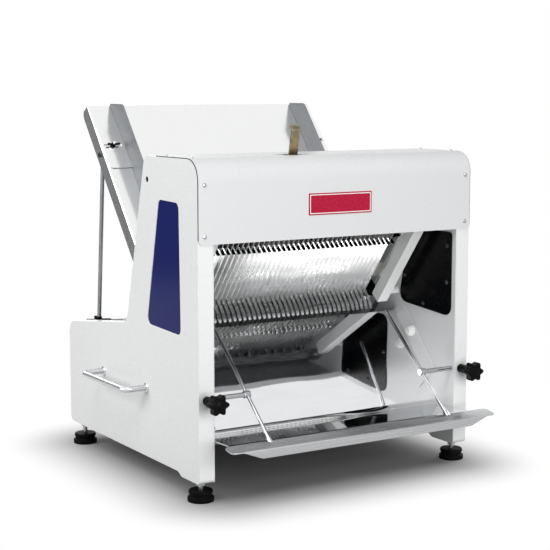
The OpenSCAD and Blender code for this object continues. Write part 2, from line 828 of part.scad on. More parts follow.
module crank_pulley() {
  color("dimgray") placed() translate([belt_x, crank_pos[0], crank_pos[1]])
    grooved_pulley(pulley_r, crank_r + fit);
}

// Connecting rod: a strap round the eccentric and an eye with its pin at the blade frame.
module con_rod(x, side) {
  big = [side * throw, -crank_low];
  eye = [0, wrist];
  along = unit(eye - big);
  flank = [along[1], -along[0]];
  neck = big + along * ecc_r;
  blade_space() {
    across(x - rod_t / 2, x + rod_t / 2) difference() {
      union() {
        translate(big) circle(ecc_r + 10);
        translate(eye) circle(2 * wrist_r);
        polygon([neck + flank * 14, eye + flank * 9, eye - flank * 9, neck - flank * 14]);
      }
      translate(big) circle(ecc_r + slack);
      translate(eye) circle(wrist_r + fit);
    }
    pin_x(x - rod_t / 2, x + rod_t / 2, eye, wrist_r);
  }
}

module con_rods_a() color("silver") placed() both_sides() con_rod(rod_a_x, 1);
module con_rods_b() color("silver") placed() both_sides() con_rod(rod_b_x, -1);

module motor_shaft() {
  color("silver") placed() pin_x(motor_half - 18, belt_x + 12, [motor_y, crank_pos[1]], motor_shaft_r);
}

module motor_pulley() {
  color("dimgray") placed() translate([belt_x, motor_y, crank_pos[1]])
    grooved_pulley(drive_r, motor_shaft_r + fit);
}

module hold_down_comb() {
  arm = shaft_pos - hold_pos;
  foot = arm_foot * [cos(comb_angle), sin(comb_angle)];
  span = norm(arm - foot);
  half = arm_x + arm_t;
  sheet = 3;
  tip = -12;
  root = 50;
  strap = 18;
  color("silver") placed() difference() {
    translate([0, hold_pos[0], hold_pos[1]]) {
      rotate([comb_angle, 0, 0]) {
        translate([-half, root, 0]) cube([2 * half, 35, sheet]);
        for (i = [0 : fingers - 1]) translate([(i - blades) * pitch - upper_finger / 2, tip, 0])
          cube([upper_finger, root - tip + 1, sheet]);
      }
      both_sides() {
        pin_x(arm_x, half, foot, strap / 2 + 2);
        pin_x(arm_x, half, arm, 2 * shaft_r);
        across(arm_x, half) translate(foot) rotate(atan2((arm - foot)[1], (arm - foot)[0]))
          translate([0, -strap / 2]) square([span, strap]);
      }
    }
    pin_x(-in_x, in_x, shaft_pos, shaft_r + fit);
  }
}

module hold_down_shaft() {
  color("silver") placed() pin_x(-in_x - 8, in_x + 8, shaft_pos, shaft_r);
}

module hold_down_lever() {
  color("goldenrod") placed() translate([0, shaft_pos[0], shaft_pos[1]]) difference() {
    across(lever_x[0], lever_x[1]) union() {
      circle(shaft_r + 5);
      rotate(lever_lean) translate([-lever_t / 2, 0]) square([lever_t, lever_len]);
      rotate(lever_lean) translate([-lever_t / 2, lever_len - lever_t]) square([lever_tip, lever_t]);
    }
    pin_x(lever_x[0] - 1, lever_x[1] + 1, [0, 0], shaft_r + fit);
  }
}

module outfeed_rods() {
  up = 173;
  down = 130;
  color("silver") placed() both_sides() difference() {
    translate([0, rack_y, rack_z]) {
      translate([rack_x, 0, 0]) rotate([rack_angle - 90, 0, 0]) translate([0, 0, -down])
        cylinder(h = down + up, r = rack_rod_r);
      pin_x(rack_x, half_w - 0.5, [0, 0], stub_r);
    }
    translate([rack_x, -lip_rear, lip_z]) rotate([lip_tilt, 0, 0])
      translate([-20, -60, -60]) cube([40, 120, 60]);
  }
}

// Tilted plate with rounded ends and a turned-down front edge with mitred ends.
module lip_bar() {
  half = lip_w / 2;
  back = 5;
  drop = 17;
  end = half - 20;
  mitre = 45;
  run = (lip_reach - 2 - lip_rear) / cos(lip_tilt);
  front_z = lip_z - run * sin(lip_tilt);
  color("gray") placed() {
    translate([0, -lip_rear, lip_z]) rotate([lip_tilt, 0, 0]) translate([0, 0, -lip_t])
      linear_extrude(lip_t)
        polygon(rounded([[-half, -run], [half, -run], [half, back], [-half, back]], [8, 8, 12, 12]));
    translate([0, lip_t - lip_reach, front_z]) rotate([90, 0, 0]) linear_extrude(lip_t)
      polygon([[-end, 0], [end, 0], [end - mitre, -drop], [mitre - end, -drop]]);
  }
}

// Six-lobed grip on a round neck; the stud enters the clamp boss and stops short of the shaft.
module star_knob(side) {
  lobes = 6;
  wave = 3;
  neck = 34;
  thick = 20;
  grip = [for (a = [0 : 6 : 354]) (knob_d / 2 - wave + wave * cos(lobes * a)) * [cos(a), sin(a)]];
  on_side(side) translate([mid_x, 0, rack_z]) rotate([90, 0, 0]) {
    translate([0, 0, neck]) linear_extrude(thick) polygon(grip);
    translate([0, 0, 0.5]) cylinder(h = neck, r = 9);
    translate([0, 0, stub_r + clear - rack_y]) cylinder(h = 10, r = stud_r);
  }
}

module star_knob_left() color("black") placed() star_knob(-1);
module star_knob_right() color("black") placed() star_knob(1);

// Upright plate with a slotted foot that slides under the wing nut.
module loaf_guide(side) {
  lower = chute_len - 30;
  lift = 0.2;
  foot = 120;
  slot = 42;
  tip = guide_h / tan(chute_angle);
  on_side(side) chute_space() {
    across(guide_x - 1, guide_x + 1)
      polygon(rounded([[-lower, lift], [2, lift], [2 - tip, guide_h], [-lower, guide_h]], [0, 4, 14, 8]));
    difference() {
      translate([guide_x, -nut_at - foot / 2, lift]) cube([chute_w - guide_x - 3, foot, 2]);
      translate([nut_x - slot / 2, -nut_at - bolt_r - clear, lift - 1])
        cube([slot, 2 * (bolt_r + clear), 4]);
    }
  }
}

module loaf_guide_left() color("gainsboro") placed() loaf_guide(-1);
module loaf_guide_right() color("gainsboro") placed() loaf_guide(1);

module wing_nut(side) {
  hub_h = 8;
  hub_r = 7;
  wing = 10;
  wing_t = 3;
  on_side(side) chute_space() translate([nut_x, -nut_at, 2.5]) difference() {
    union() {
      cylinder(h = hub_h, r1 = hub_r, r2 = hub_r - 1);
      for (s = [-1, 1]) translate([s * wing - wing / 2, -wing_t / 2, wing_t]) cube([wing, wing_t, wing]);
    }
    translate([0, 0, -1]) cylinder(h = 2 * hub_h, r = bolt_r + slack);
  }
}

module wing_nut_left() color("black") placed() wing_nut(-1);
module wing_nut_right() color("black") placed() wing_nut(1);

module push_button(y, r, h) {
  placed() {
    seat = half_w + switch_t + 4;
    pin_x(half_w - 10, seat + 2, [y, switch_z], button_r);
    pin_x(seat, seat + h, [y, switch_z], r);
  }
}

module start_button() color("green") push_button(button_ys[0], 11, 6);
module stop_button() color("red") push_button(button_ys[1], 15, 9);

side_frame_left();
side_frame_right();
inner_cover_left();
inner_cover_right();
window_left();
window_right();
access_plate_left();
access_plate_right();
head_cover();
badge_plate();
panel_screws();
tie_bar();
frame_bolts();
infeed_chute();
chute_struts();
base_floor();
base_top();
rear_panel();
rear_guard();
cord_gland();
foot_studs();
foot_pads();
carry_handle_left();
carry_handle_right();
guide_channels();
lower_comb();
outfeed_slide();
slide_brackets();
slide_caps();
clamp_bosses();
motor();
crank_bearings();
drive_belt();
switch_plate();
blade_frame_a();
blades_a();
guide_shoes_a();
blade_frame_b();
blades_b();
guide_shoes_b();
crankshaft();
eccentrics();
crank_pulley();
con_rods_a();
con_rods_b();
motor_shaft();
motor_pulley();
hold_down_comb();
hold_down_shaft();
hold_down_lever();
outfeed_rods();
lip_bar();
star_knob_left();
star_knob_right();
loaf_guide_left();
loaf_guide_right();
wing_nut_left();
wing_nut_right();
start_button();
stop_button();
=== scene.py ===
import bpy
import bmesh
import math
from mathutils import Matrix, Vector


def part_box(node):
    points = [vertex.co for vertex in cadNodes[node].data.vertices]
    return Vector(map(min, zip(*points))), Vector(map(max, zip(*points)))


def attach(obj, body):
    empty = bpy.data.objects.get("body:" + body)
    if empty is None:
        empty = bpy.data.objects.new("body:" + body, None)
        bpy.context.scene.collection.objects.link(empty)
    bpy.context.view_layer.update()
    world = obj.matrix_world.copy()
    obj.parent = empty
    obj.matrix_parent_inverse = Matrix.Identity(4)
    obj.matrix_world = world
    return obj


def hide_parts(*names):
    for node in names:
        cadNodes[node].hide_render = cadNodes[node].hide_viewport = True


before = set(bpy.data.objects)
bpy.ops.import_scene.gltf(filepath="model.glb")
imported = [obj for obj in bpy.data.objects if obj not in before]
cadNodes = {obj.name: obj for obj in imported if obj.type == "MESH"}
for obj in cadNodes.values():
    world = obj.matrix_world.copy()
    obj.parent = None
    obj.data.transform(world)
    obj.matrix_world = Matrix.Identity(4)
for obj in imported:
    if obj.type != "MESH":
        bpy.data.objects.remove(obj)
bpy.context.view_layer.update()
print("frame loaded,", len(cadNodes), "nodes")

# everything below is drawn in millimetres, depth counted from the front of the columns
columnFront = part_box("side_frame_left")[0].y * 1000
toFrame = Matrix.Scale(0.001, 4) @ Matrix.Translation((0, columnFront, 0))
mirrorX = Matrix.Scale(-1, 4, (1, 0, 0))
# depth becomes width and height becomes length, for outlines that lie flat
layFlat = Matrix(((0, 1, 0, 0), (0, 0, 1, 0), (1, 0, 0, 0), (0, 0, 0, 1)))

machine = dict(halfWidth=325.0, panel=34.0, top=660.0, chuteY=569.0, chuteZ=757.0,
               cutY=238.6, cutZ=349.0, bladeLean=38.0, slideAngle=48.0, slideStep=(34.0, 43.0),
               holdShare=0.48, barShare=0.9, combAngle=44.0, pitch=12.0, bladesEach=19)
innerX = machine["halfWidth"] - machine["panel"]
panelMid = machine["halfWidth"] - machine["panel"] / 2
fingerSpots = [i * machine["pitch"] for i in range(-machine["bladesEach"], machine["bladesEach"] + 1)]
sides = (("Left", True, "left"), ("Right", False, "right"))


def shiftBy(x, y, z):
    return Matrix.Translation((x, y, z))


def turnBy(axis, degrees):
    return Matrix.Rotation(math.radians(degrees), 4, axis)


def tilted(degrees, y, z):
    return shiftBy(0, y, z) @ turnBy("X", degrees)


def slopeLine(degrees):
    return Vector((0, math.cos(math.radians(degrees)), math.sin(math.radians(degrees))))


def pick(spec, *keys):
    return (spec[key] for key in keys)


cutY, cutZ = machine["cutY"], machine["cutZ"]
chuteRise = math.atan2(machine["chuteZ"] - cutZ, machine["chuteY"] - cutY)
chuteLength = math.hypot(machine["chuteZ"] - cutZ, machine["chuteY"] - cutY)
bladeRise = machine["top"] - cutZ
holdGap = machine["holdShare"] * bladeRise
barTop = machine["barShare"] * bladeRise
leanRad = math.radians(machine["bladeLean"])
chuteFrame = tilted(math.degrees(chuteRise), machine["chuteY"], machine["chuteZ"])
bladeFrame = tilted(machine["bladeLean"], cutY, cutZ)
slideFrame = tilted(machine["slideAngle"], cutY - machine["slideStep"][0], cutZ - machine["slideStep"][1])
combFrame = tilted(machine["combAngle"], cutY - holdGap * math.sin(leanRad), cutZ + holdGap * math.cos(leanRad))

# materials


def toLinear(hexCode):
    parts = [int(hexCode[i:i + 2], 16) / 255 for i in (1, 3, 5)]
    return [p / 12.92 if p <= 0.04045 else ((p + 0.055) / 1.055) ** 2.4 for p in parts] + [1]


def addNode(tree, kind, links=None, **settings):
    node = tree.nodes.new(kind)
    for key, value in settings.items():
        setattr(node, key, value)
    for key, value in (links or {}).items():
        if isinstance(value, bpy.types.NodeSocket):
            tree.links.new(value, node.inputs[key])
        else:
            node.inputs[key].default_value = value
    return node


def startMaterial(name, hexCode, metallic, roughness, shine=0.5):
    material = bpy.data.materials.new(name)
    material.use_nodes = True
    shader = material.node_tree.nodes["Principled BSDF"]
    for key, value in (("Specular IOR Level", shine), ("Base Color", toLinear(hexCode)), ("Metallic", metallic),
                       ("Roughness", roughness)):
        shader.inputs[key].default_value = value
    return material, material.node_tree, shader


def objectNoise(tree, size, detail):
    # noise fixed to the piece; size in metres, one for all axes or one for each
    place = addNode(tree, "ShaderNodeTexCoord").outputs["Object"]
    scale = 1.0
    if isinstance(size, tuple):
        place = addNode(tree, "ShaderNodeMapping", {"Vector": place, "Scale": [1 / s for s in size]}).outputs[0]
    else:
        scale = 1 / size
    return addNode(tree, "ShaderNodeTexNoise", {"Vector": place, "Scale": scale, "Detail": detail}).outputs[0]


def colourBy(tree, shader, pattern, first, last, middle=()):
    # each stop is a place along the pattern and a colour
    ramp = addNode(tree, "ShaderNodeValToRGB", {"Fac": pattern})
    stops = ramp.color_ramp.elements
    for index, (position, hexCode) in enumerate((first, last)):
        stops[index].position = position
        stops[index].color = toLinear(hexCode)
    for position, hexCode in middle:
        stops.new(position).color = toLinear(hexCode)
    tree.links.new(ramp.outputs["Color"], shader.inputs["Base Color"])


def roughBy(tree, shader, pattern, low, high, roughLow, roughHigh):
    gloss = addNode(tree, "ShaderNodeMapRange", {"Value": pattern, "From Min": low, "From Max": high,
                                                 "To Min": roughLow, "To Max": roughHigh})
    tree.links.new(gloss.outputs["Result"], shader.inputs["Roughness"])


def bumpBy(tree, shader, pattern, strength, height):
    bump = addNode(tree, "ShaderNodeBump", {"Height": pattern, "Strength": strength, "Distance": height})
    tree.links.new(bump.outputs["Normal"], shader.inputs["Normal"])


def powderCoat(name, hexCode, shadeHex, roughness, shine=0.4):
    # sprayed and baked polyester: even gloss, a faint orange peel and a fine mottle in its tone
    material, tree, shader = startMaterial(name, hexCode, 0.0, roughness, shine)
    mottle = objectNoise(tree, 0.003, 2.0)
    colourBy(tree, shader, mottle, (0.35, shadeHex), (0.6, hexCode))
    # peel is about 1.5 mm wide in life, drawn at 5 mm so that it shows
    bumpBy(tree, shader, objectNoise(tree, 0.005, 2.0), 0.06, 0.0004)
    roughBy(tree, shader, mottle, 0.3, 0.7, roughness * 0.85, roughness * 1.2)
    return material


def brushedSteel(name, hexCode, darkHex, roughness, grain, lineLength=0.060, lineWidth=0.0012):
    # rolled and belt-ground sheet: fine parallel lines that spread the light across them
    material, tree, shader = startMaterial(name, hexCode, 1.0, roughness)
    shader.inputs["Anisotropic"].default_value = 0.45
    # grit lines of 0.1 mm are drawn about 1 mm wide so that they show
    lines = objectNoise(tree, tuple(lineLength if axis == grain else lineWidth for axis in "XYZ"), 4.0)
    colourBy(tree, shader, lines, (0.3, darkHex), (0.65, hexCode))
    roughBy(tree, shader, lines, 0.3, 0.7, roughness * 0.75, roughness * 1.25)
    bumpBy(tree, shader, lines, 0.08, 0.0002)
    return material


def mirrorSteel(name, hexCode, smearHex, roughness, waveSize, waveHeight):
    # buffed sheet: a clear reflection that wavers with the sheet's slight unevenness, wiped streaks on it
    material, tree, shader = startMaterial(name, hexCode, 1.0, roughness)
    bumpBy(tree, shader, objectNoise(tree, waveSize, 1.0), 1.0, waveHeight)
    streak = objectNoise(tree, (0.09, 0.02, 0.02), 3.0)
    colourBy(tree, shader, streak, (0.35, smearHex), (0.55, hexCode))
    roughBy(tree, shader, streak, 0.35, 0.7, roughness * 1.6, roughness * 0.7)
    return material


def grainyPart(name, hexCode, paleHex, metallic, roughness, grainSize, grainHeight, shine=0.5):
    # cast, moulded or rubber surface: even small grain, with worn paler spots
    material, tree, shader = startMaterial(name, hexCode, metallic, roughness, shine)
    wear = objectNoise(tree, grainSize * 12, 4.0)
    colourBy(tree, shader, wear, (0.45, hexCode), (0.8, paleHex))
    bumpBy(tree, shader, objectNoise(tree, grainSize, 2.0), 0.35, grainHeight)
    roughBy(tree, shader, wear, 0.3, 0.7, roughness * 0.85, min(1.0, roughness * 1.15))
    return material


def yellowZinc(name):
    # passivated zinc: gold film drifting to olive and rose, over satin metal
    material, tree, shader = startMaterial(name, "#8D7F63", 1.0, 0.34)
    film = objectNoise(tree, 0.022, 3.0)
    colourBy(tree, shader, film, (0.3, "#6C6A5B"), (0.7, "#967C6C"), [(0.5, "#92825F")])
    bumpBy(tree, shader, film, 0.1, 0.0003)
    return material


whiteCoat = powderCoat("powderCoatWhite", "#E9EAEA", "#E8E9E9", 0.30)
paleCoat = powderCoat("powderCoatPale", "#DADBDC", "#D9DADB", 0.30)
blackCoat = powderCoat("powderCoatBlack", "#030405", "#06070A", 0.28, 0.07)
navyAcrylic = powderCoat("acrylicNavy", "#1A2262", "#18205B", 0.16, 0.06)
crimsonEnamel = powderCoat("enamelCrimson", "#B3123A", "#A60F33", 0.25, 0.2)
ivoryEnamel = powderCoat("enamelIvory", "#EFEDEA", "#E6E3DF", 0.25)
sheetSteel = brushedSteel("stainlessBrushed", "#D6D7D8", "#B9BBBD", 0.30, "X")
chuteSteel = brushedSteel("stainlessChute", "#F4F4F4", "#ECEDED", 0.16, "Y")
guideSteel = brushedSteel("stainlessGuide", "#7A7C7E", "#737577", 0.50, "Y", 0.120, 0.0008)
barSteel = brushedSteel("stainlessBar", "#B2B3B4", "#ABACAE", 0.28, "X", 0.150, 0.0006)
groundSteel = brushedSteel("steelGround", "#B4B6B9", "#8E9094", 0.28, "X", 0.030, 0.0008)
darkSteel = brushedSteel("steelBlackened", "#4A4C4F", "#323437", 0.38, "Z")
strutSteel = brushedSteel("steelDrawn", "#94969A", "#7C7F83", 0.34, "Z")
slideMirror = mirrorSteel("stainlessMirror", "#E6E7E8", "#E3E4E5", 0.03, 0.110, 0.0004)
chromeRod = mirrorSteel("steelChromed", "#AEB0B3", "#A2A4A7", 0.06, 0.040, 0.00003)
bladeSteel = mirrorSteel("steelBladePolished", "#F8F8F7", "#ECECEB", 0.28, 0.030, 0.00012)
greyIron = grainyPart("castIronGrey", "#4B4D50", "#6A6C6F", 0.6, 0.55, 0.0025, 0.0004)
castAlloy = grainyPart("aluminiumCast", "#8E9296", "#A4A8AB", 0.8, 0.45, 0.0020, 0.0003)
nylonWhite = grainyPart("nylonNatural", "#E4E1D6", "#EDEBE4", 0.0, 0.42, 0.0030, 0.0002)
capPlastic = grainyPart("absWhite", "#E8E8E6", "#F0F0EE", 0.0, 0.38, 0.0020, 0.0001)
blackAbs = grainyPart("absBlack", "#040404", "#080809", 0.0, 0.36, 0.0012, 0.0002, 0.06)
blackRubber = grainyPart("rubberBlack", "#050505", "#0B0B0B", 0.0, 0.62, 0.0016, 0.0003, 0.06)
# flat grey for the sheet inside the head cover: painted shade that darkens the cover's inside
liningShadeGrey = grainyPart("paintedShadeLining", "#77787B", "#84858A", 0.0, 0.90, 0.0020, 0.0005, 0.05)
greyAbs = grainyPart("absGrey", "#6A6C6E", "#787A7C", 0.0, 0.42, 0.0012, 0.0002)
greenAbs = grainyPart("absGreen", "#1C8A3C", "#2B9A4A", 0.0, 0.28, 0.0020, 0.0001)
redAbs = grainyPart("absRed", "#C01A1C", "#CC2C2A", 0.0, 0.28, 0.0020, 0.0001)
zincLever = yellowZinc("steelYellowZinc")
print("materials made")

# small modelling helpers


def roundOff(bm, geom, width, segments, affect="EDGES", clamp=False):
    bmesh.ops.bevel(bm, geom=geom, offset=width, offset_type="OFFSET", segments=segments, profile=0.5,
                    affect=affect, material=-1, clamp_overlap=clamp)


def softenEdges(bm, width, segments=2, limit=0.6, keep=None):
    edges = [e for e in bm.edges if len(e.link_faces) == 2 and e.calc_face_angle(0) > limit]
    if keep:
        edges = [e for e in edges if keep(e)]
    roundOff(bm, edges, width, segments, clamp=True)


def weld(bm):
    bmesh.ops.remove_doubles(bm, verts=bm.verts[:], dist=0.001)


def alignFaces(bm):
    bmesh.ops.recalc_face_normals(bm, faces=bm.faces[:])


def faceUp(bm):
    alignFaces(bm)
    if sum(f.normal.z * f.calc_area() for f in bm.faces) < 0:
        bmesh.ops.reverse_faces(bm, faces=bm.faces[:])


def toSheet(bm, thickness):
    bmesh.ops.solidify(bm, geom=bm.faces[:], thickness=thickness)


def moveAll(bm, matrix):
    bmesh.ops.transform(bm, matrix=matrix, verts=bm.verts[:])


def outlineFace(bm, points, radii, x=0.0, segments=6):
    # a flat outline in depth and height, its corners rounded one by one
    corners = [bm.verts.new((x, p[0], p[1])) for p in points]
    bm.faces.new(corners)
    count = len(points)
    for i, corner in enumerate(corners):
        if radii[i] <= 0:
            continue
        here = Vector(points[i])
        half = (Vector(points[i - 1]) - here).angle(Vector(points[(i + 1) % count]) - here) / 2
        roundOff(bm, [corner], radii[i] / math.tan(half), segments, "VERTICES")


def boxOutline(y0, z0, y1, z1):
    return [(y0, z0), (y1, z0), (y1, z1), (y0, z1)]


def fillWithHoles(bm):
    bmesh.ops.delete(bm, geom=bm.faces[:], context="FACES_ONLY")
    bmesh.ops.triangle_fill(bm, edges=bm.edges[:], use_beauty=True, use_dissolve=False)


def cutThrough(bm, point, normal):
    bmesh.ops.bisect_plane(bm, geom=bm.verts[:] + bm.edges[:] + bm.faces[:], plane_co=point, plane_no=normal)


def onlyVerts(geom):
    return [g for g in geom if isinstance(g, bmesh.types.BMVert)]


def thicken(bm, move):
    result = bmesh.ops.extrude_face_region(bm, geom=bm.faces[:])
    bmesh.ops.translate(bm, vec=move, verts=onlyVerts(result["geom"]))
    alignFaces(bm)


def outlinePlate(points, radii, x, thick, segments, edge):
    bm = bmesh.new()
    outlineFace(bm, points, radii, x, segments)
    thicken(bm, (thick, 0, 0))
    softenEdges(bm, edge, 2, 1.0)
    return bm


def lineEdge(bm, start, end):
    return [bm.edges.new((bm.verts.new(start), bm.verts.new(end)))]


def pull(bm, edges, move):
    result = bmesh.ops.extrude_edge_only(bm, edges=edges)
    moved = onlyVerts(result["geom"])
    bmesh.ops.translate(bm, vec=move, verts=moved)
    return [g for g in result["geom"] if isinstance(g, bmesh.types.BMEdge) and all(v in moved for v in g.verts)]


def bend(bm, edges, centre, axis, degrees, steps):
    result = bmesh.ops.spin(bm, geom=edges, cent=centre, axis=axis, angle=math.radians(degrees), steps=steps,
                            use_duplicate=False)
    return [g for g in result["geom_last"] if isinstance(g, bmesh.types.BMEdge)]


def absorb(bm, part, matrix=None):
    # adds a small part to a piece, moved to its place
    if matrix is not None:
        moveAll(part, matrix)
    mesh = bpy.data.meshes.new("part")
    part.to_mesh(mesh)
    part.free()
    bm.from_mesh(mesh)
    bpy.data.meshes.remove(mesh)


def spunPiece(bm, profile, steps):
    # profile of (radius, height) turned about Z
    verts = [bm.verts.new((p[0], 0, p[1])) for p in profile]
    edges = [bm.edges.new((a, b)) for a, b in zip(verts, verts[1:])]
    bmesh.ops.spin(bm, geom=edges + verts, cent=(0, 0, 0), axis=(0, 0, 1), angle=2 * math.pi, steps=steps,
                   use_merge=True, use_duplicate=False)
    weld(bm)
    alignFaces(bm)


def addSpun(bm, profile, steps, matrix=None):
    part = bmesh.new()
    spunPiece(part, profile, steps)
    absorb(bm, part, matrix)


def rodAlong(bm, start, end, radius, segments=24, rounding=0.0):
    # a round bar between two points, its end edges eased
    start, end = Vector(start), Vector(end)
    span = end - start
    place = Matrix.Translation((start + end) / 2) @ span.to_track_quat("Z", "Y").to_matrix().to_4x4()
    part = bmesh.new()
    bmesh.ops.create_cone(part, cap_ends=True, segments=segments, radius1=radius, radius2=radius,
                          depth=span.length, matrix=place)
    if rounding:
        softenEdges(part, rounding, 2, 1.0)
    absorb(bm, part)


def blockAt(bm, low, high, rounding=0.0, segments=2):
    part = bmesh.new()
    middle = (Vector(low) + Vector(high)) / 2
    size = Vector(high) - Vector(low)
    bmesh.ops.create_cube(part, size=1.0, matrix=Matrix.Translation(middle) @ Matrix.Diagonal((*size, 1)))
    if rounding:
        softenEdges(part, rounding, segments)
    absorb(bm, part)


def meshObject(name, bm, material):
    mesh = bpy.data.meshes.new(name)
    bm.to_mesh(mesh)
    bm.free()
    mesh.materials.append(material)
    piece = bpy.data.objects.new(name, mesh)
    bpy.context.scene.collection.objects.link(piece)
    return piece


# edges sharper than this, in radians, stay crisp
smoothAngle = 0.6


def finishPiece(name, bm, material, body, replaced=(), place=None, mirrored=False):
    matrix = toFrame
    if mirrored:
        matrix = matrix @ mirrorX
    if place is not None:
        matrix = matrix @ place
    moveAll(bm, matrix)
    bmesh.ops.remove_doubles(bm, verts=bm.verts[:], dist=1e-7)
    alignFaces(bm)
    for face in bm.faces:
        face.smooth = True
    for edge in bm.edges:
        edge.smooth = len(edge.link_faces) == 2 and edge.calc_face_angle(0) < smoothAngle
    piece = meshObject(name, bm, material)
    even = piece.modifiers.new("evenShading", "WEIGHTED_NORMAL")
    even.keep_sharp = True
    if replaced:
        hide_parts(*replaced)
    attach(piece, body)


# side frames, windows and access plates
sidePanel = dict(
    outline=[(0, 39), (72, 39), (88, 47), (606, 47), (606, 274), (309, 312), (220, 660), (0, 660)],
    radii=[8, 8, 10, 14, 28, 28, 18, 40], depth=32.0, edge=8.0, wall=1.8,
    window=[(72, 318), (217, 323), (161, 576), (77, 574)], windowRadii=[13, 15, 13, 13],
    windowBox=(60, 230, 310, 590), windowEdge=1.4, reveal=1.9, boltHole=(209.0, 613.0, 6.0))
windowInsert = dict(outline=[(60, 306), (231, 312), (172, 588), (66, 586)], radii=[16, 18, 16, 16],
                    inset=6.0, thick=4.0, edge=0.4)
accessPlate = dict(outline=[(12, 312), (196, 326), (160, 492), (12, 492)], radii=[20, 24, 8, 8],
                   thick=2.0, edge=0.6)


def inWindow(edge):
    y0, y1, z0, z1 = sidePanel["windowBox"]
    return all(y0 < v.co.y < y1 and z0 < v.co.z < z1 for v in edge.verts)


def makeSidePanel(name, mirrored, side):
    outer = machine["halfWidth"]
    bm = bmesh.new()
    outlineFace(bm, sidePanel["outline"], sidePanel["radii"], outer, 8)
    outlineFace(bm, sidePanel["window"], sidePanel["windowRadii"], outer, 8)
    holeY, holeZ, holeRadius = sidePanel["boltHole"]
    bmesh.ops.create_circle(bm, cap_ends=False, segments=24, radius=holeRadius,
                            matrix=shiftBy(outer, holeY, holeZ) @ turnBy("Y", 90))
    fillWithHoles(bm)
    near = 2 * holeRadius
    rim = [e for e in bm.edges if e.is_boundary]
    windowRim = [e for e in rim if inWindow(e)]
    holeRim = [e for e in rim if all(abs(v.co.y - holeY) < near and abs(v.co.z - holeZ) < near for v in e.verts)]
    outside = [e for e in rim if e not in windowRim and e not in holeRim]
    pull(bm, outside, (-sidePanel["depth"], 0, 0))
    pull(bm, windowRim + holeRim, (-sidePanel["reveal"], 0, 0))
    alignFaces(bm)
    roundOff(bm, outside, sidePanel["edge"], 5, clamp=True)
    sharp = [e for e in bm.edges if len(e.link_faces) == 2 and e.calc_face_angle(0) > 1.0 and inWindow(e)]
    roundOff(bm, sharp, sidePanel["windowEdge"], 3, clamp=True)
    toSheet(bm, sidePanel["wall"])
    finishPiece("sidePanel" + name, bm, whiteCoat, "machine", ["side_frame_" + side],
                mirrored=mirrored)


def makeFlatPlate(name, spec, x, material, replaced, mirrored):
    bm = outlinePlate(spec["outline"], spec["radii"], x, spec["thick"], 7, spec["edge"])
    finishPiece(name, bm, material, "machine", [replaced], mirrored=mirrored)


for name, mirrored, side in sides:
    makeSidePanel(name, mirrored, side)
    makeFlatPlate("windowInsert" + name, windowInsert, machine["halfWidth"] - windowInsert["inset"], navyAcrylic,
                  "window_" + side, mirrored)
    makeFlatPlate("accessPlate" + name, accessPlate, innerX - accessPlate["thick"], blackCoat,
                  "access_plate_" + side, mirrored)
print("side frames made")

# head cover with its slot, a grey lining and black end strips that are painted shade, and the bare name plate
headCover = dict(halfWidth=324.0, low=500.0, frontY=-2.0, bendRadius=42.0, bendSteps=14, rearY=170.0, sheet=2.0,
                 hem=12.0, hemEnd=10.0, corner=8.0, edge=0.4, slot=(-105.0, -43.0, 40.0, 95.0))
coverLining = dict(halfWidth=289.5, low=506.0, inset=2.3, rearY=168.0, thick=1.2)
# black strips at the cover's ends, painted shade for the gap between cover and side frames
coverSeam = dict(inside=323.6, outside=325.2, step=0.5, low=508.0, rearY=169.0, thick=1.0)


def bentSheet(x0, x1, low, front, radius, high, rear, strip=0):
    # upright front, a bend and a flat top; strips beside the bend keep its shading off the flats
    bm = bmesh.new()
    edge = lineEdge(bm, (x0, front, low), (x1, front, low))
    edge = pull(bm, edge, (0, 0, high - radius - low - strip))
    if strip:
        edge = pull(bm, edge, (0, 0, strip))
    edge = bend(bm, edge, (0, front + radius, high - radius), (1, 0, 0), -90, headCover["bendSteps"])
    if strip:
        edge = pull(bm, edge, (0, strip, 0))
    pull(bm, edge, (0, rear - front - radius - strip, 0))
    weld(bm)
    return bm


def bentCover(half, low, front, radius, high, rear):
    # a bent sheet with the lever's slot cut out of its top
    bm = bentSheet(-half, half, low, front, radius, high, rear, 2)
    x0, x1, y0, y1 = headCover["slot"]
    for x in (x0, x1):
        cutThrough(bm, (x, 0, 0), (1, 0, 0))
    for y in (y0, y1):
        cutThrough(bm, (0, y, 0), (0, 1, 0))
    cut = []
    for face in bm.faces:
        middle = face.calc_center_median()
        if x0 < middle.x < x1 and y0 < middle.y < y1 and middle.z > high - 1:
            cut.append(face)
    bmesh.ops.delete(bm, geom=cut, context="FACES")
    alignFaces(bm)
    if sum(f.normal.y * f.calc_area() for f in bm.faces if f.calc_center_median().y < front + 1) > 0:
        bmesh.ops.reverse_faces(bm, faces=bm.faces[:])
    return bm


def makeHeadCover():
    half, low, front, sheet = pick(headCover, "halfWidth", "low", "frontY", "sheet")
    radius, high, edge = headCover["bendRadius"], machine["top"] + sheet, headCover["edge"]
    bm = bentCover(half, low, front, radius, high, headCover["rearY"])
    corners = [v for v in bm.verts if v.co.z < low + 0.1 and abs(v.co.x) > half - 0.1]
    roundOff(bm, corners, headCover["corner"], 5, "VERTICES")
    toSheet(bm, sheet - 0.1)
    softenEdges(bm, edge, 2, 1.0)
    hemHalf = half - headCover["hemEnd"]
    blockAt(bm, (-hemHalf, front + sheet - 0.3, low + edge), (hemHalf, front + headCover["hem"], low + sheet), edge)
    finishPiece("headCover", bm, paleCoat, "machine", ["head_cover"])
    step = coverLining["inset"]
    # a grey sheet just inside the cover, painted shade that darkens the inside of the cover
    shadeLining = bentCover(coverLining["halfWidth"], coverLining["low"], front + step, radius - step, high - step,
                     coverLining["rearY"])
    toSheet(shadeLining, coverLining["thick"])
    finishPiece("coverLining", shadeLining, liningShadeGrey, "machine")


